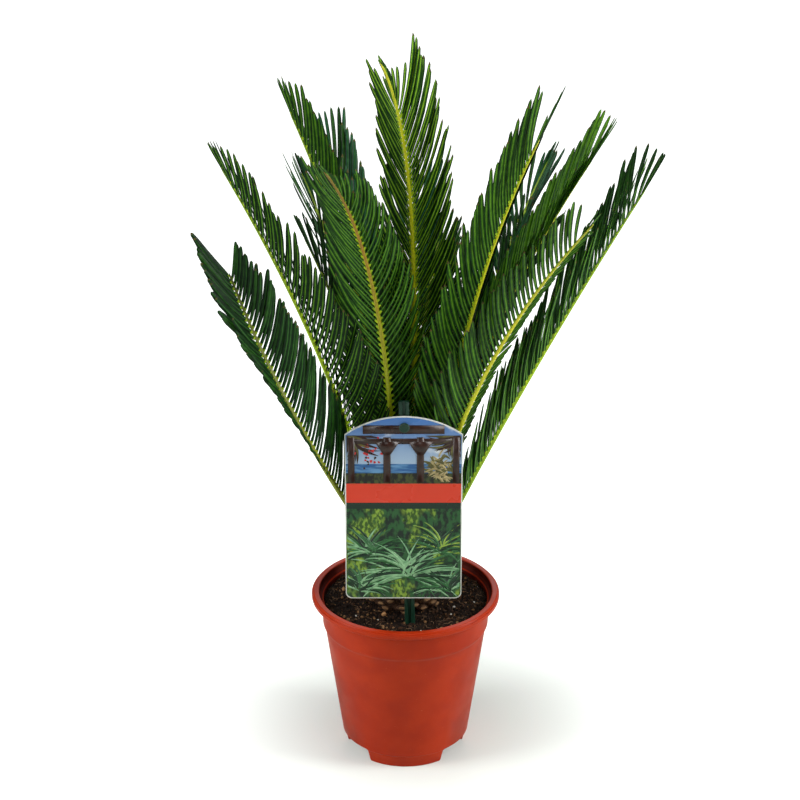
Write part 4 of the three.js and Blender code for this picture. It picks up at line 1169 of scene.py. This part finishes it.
def printed_shapes():
    """The card's picture: the posts and beams of a timber shelter before the sea, with dark boughs
    in the upper corners, small red blossoms and a round tan bush, and clumps of strap leaves over
    the lower half."""
    random = np.random.default_rng(31)
    skins = []

    def bar(left, right, low, high, proud):
        corners = [(left, low), (right, low), (right, high), (left, high)]
        skins.append(film(np.array(corners), proud, UMBER))

    bar(-31, 31, 141.5, 148.5, 0.34)
    bar(-42.5, 42.5, 133.0, 137.5, 0.3)
    for left, right in [(-42.5, -37.5), (-15.5, -10.0), (10.0, 15.5), (37.5, 42.5)]:
        bar(left, right, 100.5, 138.5, 0.38)
    for x in (-12.75, 12.75):
        corners = [(x - 2.6, 124), (x + 2.6, 124), (x + 9.5, 135), (x - 9.5, 135)]
        skins.append(film(np.array(corners), 0.42, UMBER))

    def clump(middle, count, spread, length, width, inks, bend, clip, jitter=(3.0, 1.5)):
        start = np.asarray(middle) + random.normal(0, 1, (count, 2)) * jitter
        heading = np.linspace(*spread, count) + random.normal(0, 5, count)
        turn = np.sign(heading - np.mean(spread)) * random.uniform(*bend, count)
        length, width = random.uniform(*length, count), random.uniform(*width, count)
        chosen = random.choice(inks, count)
        skins.append(strap_leaves(start, heading, turn, length, width, chosen, random, clip))

    lower = (-43.5, 43.5, 1.5, 73.5)
    upper = (-43.5, 43.5, 101.0, 140.0)
    blooms, bough, bush = [RUST, RUST, UMBER], [UMBER, UMBER, OLIVE], [TAN, OLIVE, TAN]
    clump((-26, 40), 44, (-88, 88), (18, 32), (0.5, 1.0), [PINE, FERN, JADE], (20, 60), lower)
    clump((28, 42), 44, (-88, 88), (18, 30), (0.5, 1.0), [PINE, FERN, LIME], (20, 60), lower)
    clump((4, 20), 74, (-100, 100), (26, 48), (0.5, 1.1), [FERN, JADE, JADE, PINE], (20, 70), lower)
    clump((-34, 8), 40, (-60, 88), (16, 30), (0.5, 1.0), [JADE, FERN, PINE, PINE], (20, 60), lower)
    clump((36, 8), 40, (-88, 60), (16, 30), (0.5, 1.0), [JADE, FERN, PINE, PINE], (20, 60), lower)
    clump((-41, 141), 40, (95, 185), (12, 26), (0.8, 1.5), bough, (10, 40), upper, (2.0, 4.0))
    clump((41, 141), 40, (-185, -95), (10, 24), (0.8, 1.5), bough, (10, 40), upper, (2.0, 4.0))
    clump((27, 112), 80, (-150, 150), (5, 11), (0.6, 1.1), bush, (0, 60), upper, (4.5, 4.0))
    clump((-28, 124), 26, (-170, 170), (1.5, 3.0), (0.8, 1.3), blooms, (0, 30), upper, (5.0, 5.0))
    return skins


# ---------------------------------------------------------------- fronds


def rib_frame(spec, share):
    """The ways along the rib, to its right and out of the blade's upper face, at shares of its
    length. The heading turns by `sweep` and the climb goes from `rise` to `tip` as share^bow."""
    turn = np.radians(spec["azimuth"] + spec["sweep"] * share)
    climb = np.radians(blend(spec["rise"], spec["tip"], share ** spec["bow"]))
    along = around(np.cos(climb), turn, np.sin(climb))
    flat = np.cross(around(1, turn, 0), UP)
    above = np.cross(flat, along)
    rolled = np.radians(spec["roll"] + spec["twist"] * share)[..., None]
    right = flat * np.cos(rolled) + above * np.sin(rolled)
    up = above * np.cos(rolled) - flat * np.sin(rolled)
    return along, right, up


def rib_points(spec, share):
    """Points on the rib's curve: its headings added up in equal strides from its foot."""
    crown = SOIL["top"] + GAP + TRUNK["height"] - RIB["dip"]
    start = around(spec["out"], np.radians(spec["at"]), crown)
    start = start - rib_frame(spec, np.zeros(1))[0][0] * RIB["sunk"]
    strides = RIB["strides"]
    along, _, _ = rib_frame(spec, (np.arange(strides) + 0.5) / strides)
    steps = along * (spec["length"] + RIB["sunk"]) / strides
    curve = np.concatenate([start[None], start + np.cumsum(steps, 0)])
    grid = np.linspace(0, 1, strides + 1)
    return np.stack([np.interp(share, grid, curve[:, k]) for k in range(3)], -1)


def rib_size(share):
    """The rib's half width and half depth at shares of its length."""
    s = np.asarray(share)
    low = blend(RIB["base_width"], RIB["width"], s / LEAF["start"])
    high = blend(RIB["width"], RIB["tip_width"], (s - LEAF["start"]) / (1 - LEAF["start"]))
    return np.where(s < LEAF["start"], low, high) / 2, blend(RIB["base_depth"], RIB["tip_depth"], s) / 2


def rib_skin(spec):
    """The rib carried along its curve. Its section is flat and slightly grooved above, rounded
    below, and widest at a third of its depth; the foot swells and the tip closes to a point."""
    share = np.linspace(0, 1, 64)
    point = rib_points(spec, share)
    _, right, up = rib_frame(spec, share)
    wide, deep = rib_size(share)
    wide = wide * (1 + 0.35 * np.exp(-((share / 0.035) ** 2)))
    wide[-1], deep[-1] = wide[-1] * 0.4, deep[-1] * 0.4
    section = np.array([
        (0.0, 0.62), (0.45, 0.82), (0.82, 0.7), (1.0, 0.2), (0.86, -0.45), (0.5, -0.88), (0.0, -1.0),
        (-0.5, -0.88), (-0.86, -0.45), (-1.0, 0.2), (-0.82, 0.7), (-0.45, 0.82),
    ])
    rings = carried(point, right, up, section, wide, deep)
    shares = np.r_[np.repeat(share, len(section)), 0.0, 1.0]
    return tubes(rings[None]), shares


def thorn_skin(spec, random):
    """Short thorns on both sides of the bare stalk: four-sided points that lengthen upwards."""
    first, count = THORN["first"], 2 * THORN["pairs"]
    share = np.repeat(np.linspace(first, LEAF["start"] - THORN["clear"], THORN["pairs"]), 2)
    side = np.tile([1.0, -1.0], THORN["pairs"])
    point = rib_points(spec, share)
    along, right, up = rib_frame(spec, share)
    wide, deep = rib_size(share)
    way = unit(right * side[:, None] * 0.9 + along * 0.55 + up * 0.25 + random.normal(0, 0.08, (count, 3)))
    across = unit(along - way * np.sum(along * way, -1, keepdims=True))
    out = np.cross(way, across)
    foot = point + right * (side * wide * 0.7)[:, None] + up * (deep * 0.2)[:, None]
    length = blend(*THORN["length"], (share - first) / (LEAF["start"] - first))
    length = length * random.uniform(0.85, 1.15, count)
    angle = 2 * np.pi * np.arange(4) / 4
    rings = []
    for step, radius in ((0.0, 1.1), (0.5, 0.62)):
        ring = across[:, None] * np.cos(angle)[:, None] + out[:, None] * np.sin(angle)[:, None] * 0.7
        rings.append((foot + way * (length * step)[:, None])[:, None] + ring * radius)
    skin = tubes(np.stack(rings, 1), head=foot + way * length[:, None])
    return skin, np.full(len(skin[0]), 0.12)


# Where a leaflet's rings stand, in steps along it, with its width and the share of its depth there.
RINGS = np.array([0, 1, 3, 8, 14, 20, 23])
WIDTHS = np.array([2.7, 2.3, 2.5, 3.3, 3.7, 3.5, 2.3])
DEPTHS = np.array([1.5, 1.3, 1.1, 1, 1, 0.9, 0.6])
# Across a leaflet, as shares of its half width, and out of its face, in mm: two faces and a narrow
# midrib above, and the same below, where the midrib stands out. They meet in two sharp margins, painted
# dark as the shade between neighbouring leaflets.
SECTION = np.array([
    (-1.0, -0.7), (-0.74, -0.35), (-0.18, 0.15), (0.18, 0.15), (0.74, -0.35),
    (1.0, -0.7), (0.74, -0.62), (0.24, -0.5), (-0.24, -0.5), (-0.74, -0.62),
])
BLADE, ABOVE, UNDER, BELOW, SECOND, THIRD, FOOT, TIP, SHADED_MARGIN = range(9)  # its materials, in order
SECTION_FINISH = np.array([SHADED_MARGIN, BLADE, ABOVE, BLADE, SHADED_MARGIN, SHADED_MARGIN, UNDER, BELOW, UNDER, SHADED_MARGIN])


def leaflet_plan(spec, random):
    """Where every leaflet of a frond stands and how it grows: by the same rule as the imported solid,
    on a fine pitch, with a little chance in each angle and length."""
    span = (1 - LEAF["start"]) * spec["length"]
    count = int(span / spec["pitch"])
    total = 2 * count
    side = np.repeat([1.0, -1.0], count)
    step = (np.tile(np.arange(count), 2) + np.where(side > 0, 0.25, 0.75)) / count
    step = step - LEAF["crowding"] * np.sin(np.pi * step)
    share = LEAF["start"] + (1 - LEAF["start"]) * step * LEAF["end"]
    progress = (share - LEAF["start"]) / (1 - LEAF["start"])
    full = np.minimum(1, LEAF["foot_share"] + LEAF["foot_growth"] * progress)
    low, high = spec["bundle"]
    late = np.maximum(0, (progress - low) / (1 - low))
    loss, power = spec["fade"]
    length = spec["leaf"] * full * (1 - loss * late**power) * random.normal(1, CHANCE["length"], total)
    right_row, left_row = spec["rows"]
    row = np.where(side > 0, blend(*right_row, progress), blend(*left_row, progress))
    length = length * row.clip(0.02)
    bundled = np.clip((progress - low) / (high - low), 0, 1)
    shut = blend(*spec["open"], progress) * (1 - LEAF["closing"] * bundled)
    shut = shut * np.where(side > 0, *spec["flare"])
    start_angle = (blend(*spec["base"], progress) + random.normal(0, CHANCE["base"], total)) * shut
    end_angle = (blend(*spec["ends"], progress) + random.normal(0, CHANCE["ends"], total)) * shut
    fold = spec["vee"] + random.normal(0, CHANCE["vee"], total)
    curl = random.normal(0, CHANCE["curl"], total)
    turns = np.radians(np.where(side > 0, *spec["turns"])) + random.normal(0, CHANCE["turns"], total)
    return share, side, length, start_angle, end_angle, fold, curl, turns


def leaflet_paths(spec, random):
    """The middle line of every leaflet, with the ways across it and out of its face. Each leaves the
    rib at its first angle and bends towards the rib's own way: way = along cos(angle) + sideways
    sin(angle), added up in equal steps."""
    share, side, length, start_angle, end_angle, fold, curl, turns = leaflet_plan(spec, random)
    along, right, up = rib_frame(spec, share)
    wide, deep = rib_size(share)
    steps = LEAF["steps"]
    grid = np.arange(steps + 1) / steps
    fold_now = np.radians(fold[:, None] + curl[:, None] * grid**2)
    sideways = right[:, None] * (side[:, None] * np.cos(fold_now))[..., None]
    sideways = sideways + up[:, None] * np.sin(fold_now)[..., None]
    angle = np.radians(blend(start_angle[:, None], end_angle[:, None], grid**0.75))
    way = along[:, None] * np.cos(angle)[..., None] + sideways * np.sin(angle)[..., None]
    across = along[:, None] * np.sin(angle)[..., None] - sideways * np.cos(angle)[..., None]
    out = np.cross(way, across) * side[:, None, None]
    foot = rib_points(spec, share) + right * (side * wide * 0.5)[:, None] + up * (deep * 0.3)[:, None]
    middles = (way[:, 1:] + way[:, :-1]) / 2
    walk = np.concatenate([np.zeros((len(share), 1, 3)), np.cumsum(middles, 1)], 1)
    reach = room_for_leaflets(foot, walk * (length / steps)[:, None, None])
    kept = (reach > 0) & (length > LEAF["least"])
    path = foot[:, None] + walk * (length * reach / steps)[:, None, None]
    tilt = (turns * side)[:, None, None] * np.minimum(1, grid * 6)[None, :, None]
    across, out = across * np.cos(tilt) + out * np.sin(tilt), out * np.cos(tilt) - across * np.sin(tilt)
    return path[kept], across[kept], out[kept], along[kept], (length * reach)[kept]


def leaflets_skin(spec, random):
    """All the leaflets of one frond, each carried along its middle line with a flat section that is
    widest at its foot and again past its middle, and ends in a short point."""
    path, across, out, along, length = leaflet_paths(spec, random)
    across_now = across[:, RINGS].copy()
    across_now[:, 0] = unit(along * 0.9 + across[:, 0] * 0.3)
    grown = (length / LEAF["length"] / 0.9).clip(0, 1)
    half = WIDTHS / 2 * spec["broad"] * (0.3 + 0.7 * grown)[:, None]
    deep = np.minimum(1, (length / 45))[:, None] * DEPTHS
    rings = carried(path[:, RINGS], across_now, out[:, RINGS], SECTION, half, deep)
    lit = random.random(len(path))
    tone = np.select([lit < 0.6, lit < 0.82], [BLADE, SECOND], THIRD)
    finish = np.broadcast_to(SECTION_FINISH, (len(path), len(RINGS) - 1, len(SECTION)))
    finish = np.where(finish == BLADE, tone[:, None, None], finish)
    finish[:, 0] = FOOT
    tip = path[:, -1] + (path[:, -1] - path[:, -2]) * 0.02
    brown = random.random(len(path)) < 0.55
    tip_finish = np.where(brown[:, None], TIP, finish[:, -1])
    return tubes(rings, finish=finish, head=tip, foot_finish=FOOT, head_finish=tip_finish)


def room_for_leaflets(foot, walk):
    """The share of its length at which each leaflet stays clear of the label and its stick: full
    length is tried first, then less, and 0 leaves it out. Its points are held against two boxes."""
    card_top = CARD["bottom"] + CARD["height"] + 2
    left, right = CARD["x"] - CARD["width"] / 2 - 2, CARD["x"] + CARD["width"] / 2 + 2
    card = (left, CARD["y"] - 60, CARD["bottom"] - 4), (right, CARD["y"] + 2.6, card_top)
    stick = (-4, CARD["y"] - 4, 120), (10, CARD["y"] + 7, STICK["top"] + 3)
    best = np.zeros(len(foot))
    for reach in LEAF["reaches"][::-1]:
        path = foot[:, None] + walk * reach
        blocked = np.zeros(len(foot), bool)
        for low, high in (card, stick):
            blocked |= np.any(np.all((path > np.array(low)) & (path < np.array(high)), -1), 1)
        best = np.where(blocked, best, reach)
    return best


NEIGHBOURS = {  # the two tones that are mixed in with each
    "deep": ("mid", "deep"), "mid": ("deep", "bright"), "bright": ("mid", "deep"),
    "blue": ("mid", "deep"), "olive": ("deep", "mid"), "light": ("bright", "light"),
}


def build_fronds():
    """Each frond's leaflets in its greens, and its rib with the thorns on its stalk."""
    for number, (name, given) in enumerate(FRONDS.items()):
        spec = {**USUAL, **given}
        random = np.random.default_rng(100 + number)
        tone, line, light = spec["tone"], spec["line"], spec["edge"] == "light"
        second, third = NEIGHBOURS[tone]
        above = LEAF_LINES["dim" if line == "pale" else "dark"]
        under = LEAF_UNDER_DEEP if tone == "deep" and not light else LEAF_UNDER
        # The margins' dark finish is painted shade between leaflets, lighter on fronds with light edges.
        shaded_margin = LEAF_UNDER_DEEP if light else LEAF_MARGIN_PAINTED_SHADE
        greens = [LEAF_TONES[tone], above, under, LEAF_LINES[line], LEAF_TONES[second], LEAF_TONES[third],
                  LEAF_FOOT, LEAF_TIP, shaded_margin]
        make_piece(name + "_leaflets", [leaflets_skin(spec, random)], greens, [name], crease=70)
        rib, rib_shares = rib_skin(spec)
        thorns, thorn_shares = thorn_skin(spec, random)
        make_piece(name + "_rib", [rib, thorns], [RIB_TONES[spec["rib"]]], [name],
                   shares=np.r_[rib_shares, thorn_shares])


# ---------------------------------------------------------------- floor, light, camera

SOFTBOXES = [
    # name, place, aim, width, height (all in metres) and power in watts
    ("left_softbox", (-1.3, -0.45, 0.8), (0, 0, 0.25), 0.6, 1.4, 17.0),
    ("right_softbox", (1.3, -0.35, 0.8), (0, 0, 0.25), 0.5, 1.4, 20.0),
    ("front_softbox", (-0.25, -2.4, 1.5), (0, 0, 0.4), 1.0, 1.0, 7.0),
    ("top_softbox", (0.1, -0.2, 2.2), (0, 0, 0.2), 1.2, 1.2, 10.0),
    ("back_softbox", (0.2, 2.2, 1.3), (0, 0, 0.35), 1.0, 1.0, 7.0),
]
CAMERA = {
    "place": (-4.4, -1762.6, 1082.0),  # mm from the pot's axis and the ground
    "down": 23.86,  # degrees below level
    "focal": 2490.6,  # focal length in pixels of a picture that is `frame` pixels wide
    "frame": 800,
    "sensor": 36.0,
    "far": 60.0,
}


def build_floor():
    """A large pale floor, finely divided near the pot, whose colour barely wanders. Away from the
    pot it glows a little to the camera alone, so that it runs into the white of the room; nearer the
    pot this painted glow fades, which paints a soft shadow round it."""
    material = finish("pale_floor", (212, 222, 214), (216, 226, 218), mottle=400.0, gloss=(0.55, 0.62),
                      gloss_size=300.0, grain=(40.0, 6.0, 0.5), bump=(0.02, 0.05),
                      Specular_IOR_Level=0.15)
    nodes = Nodes(material.node_tree)
    shader = material.node_tree.nodes["Principled BSDF"]
    shader.inputs["Emission Color"].default_value = (1, 1, 1, 1)
    seen = nodes.add("ShaderNodeLightPath").outputs["Is Camera Ray"]
    place = nodes.add("ShaderNodeTexCoord").outputs["Object"]
    away = nodes.add("ShaderNodeVectorMath", {"operation": "LENGTH"}, n0=place).outputs["Value"]
    # Painted glow for camera rays alone: 0.2 close to the pot, rising to 1 by 0.26 m; the dimmer ring near
    # the pot is a painted shadow.
    painted_glow = nodes.math("MULTIPLY", seen, nodes.spread(away, 0.04, 0.26, 0.2, 1.0))
    material.node_tree.links.new(painted_glow, shader.inputs["Emission Strength"])
    radii = np.geomspace(30, 12000, 40)
    rings = around(radii[:, None], np.radians(np.arange(0, 360, 6)), -0.05)
    under = rings[::-1] - [0, 0, 20]
    make_piece("floor", [tubes(np.concatenate([rings, under])[None])], [material], None)


def add_softbox(name, place, aim, width, height, power):
    """A flat white light that points from its place at its aim, in metres and watts."""
    light = bpy.data.lights.new(name, "AREA")
    light.shape, light.size, light.size_y = "RECTANGLE", width, height
    light.energy = power
    holder = bpy.data.objects.new(name, light)
    holder.location = Vector(place)
    holder.rotation_euler = (Vector(aim) - Vector(place)).to_track_quat("-Z", "Y").to_euler()
    bpy.context.collection.objects.link(holder)


def build_light():
    """An even white room, brighter in what the camera sees directly, and five softboxes."""
    world = bpy.data.worlds.new("studio")
    bpy.context.scene.world = world
    world.use_nodes = True
    nodes = Nodes(world.node_tree)
    background = world.node_tree.nodes["Background"]
    background.inputs["Color"].default_value = (1, 1, 1, 1)
    seen = nodes.add("ShaderNodeLightPath").outputs["Is Camera Ray"]
    strength = nodes.spread(seen, 0.0, 1.0, 0.06, 1.05)
    world.node_tree.links.new(strength, background.inputs["Strength"])
    for name, place, aim, width, height, power in SOFTBOXES:
        add_softbox(name, place, aim, width, height, power)


def build_camera():
    """Looks straight along +Y and down."""
    camera = bpy.data.cameras.new("camera")
    camera.sensor_width = CAMERA["sensor"]
    camera.lens = CAMERA["focal"] / CAMERA["frame"] * CAMERA["sensor"]
    camera.clip_end = CAMERA["far"]
    holder = bpy.data.objects.new("camera", camera)
    holder.location = Vector((AXIS + np.array(CAMERA["place"]) / 1000).tolist())
    holder.rotation_euler = (np.radians(90 - CAMERA["down"]), 0.0, 0.0)
    bpy.context.collection.objects.link(holder)
    bpy.context.scene.camera = holder


bpy.context.scene.view_settings.view_transform = "Standard"
build_camera()
build_light()
build_floor()
build_pot()
build_soil()
build_trunk()
build_card()
build_stick()
build_fronds()
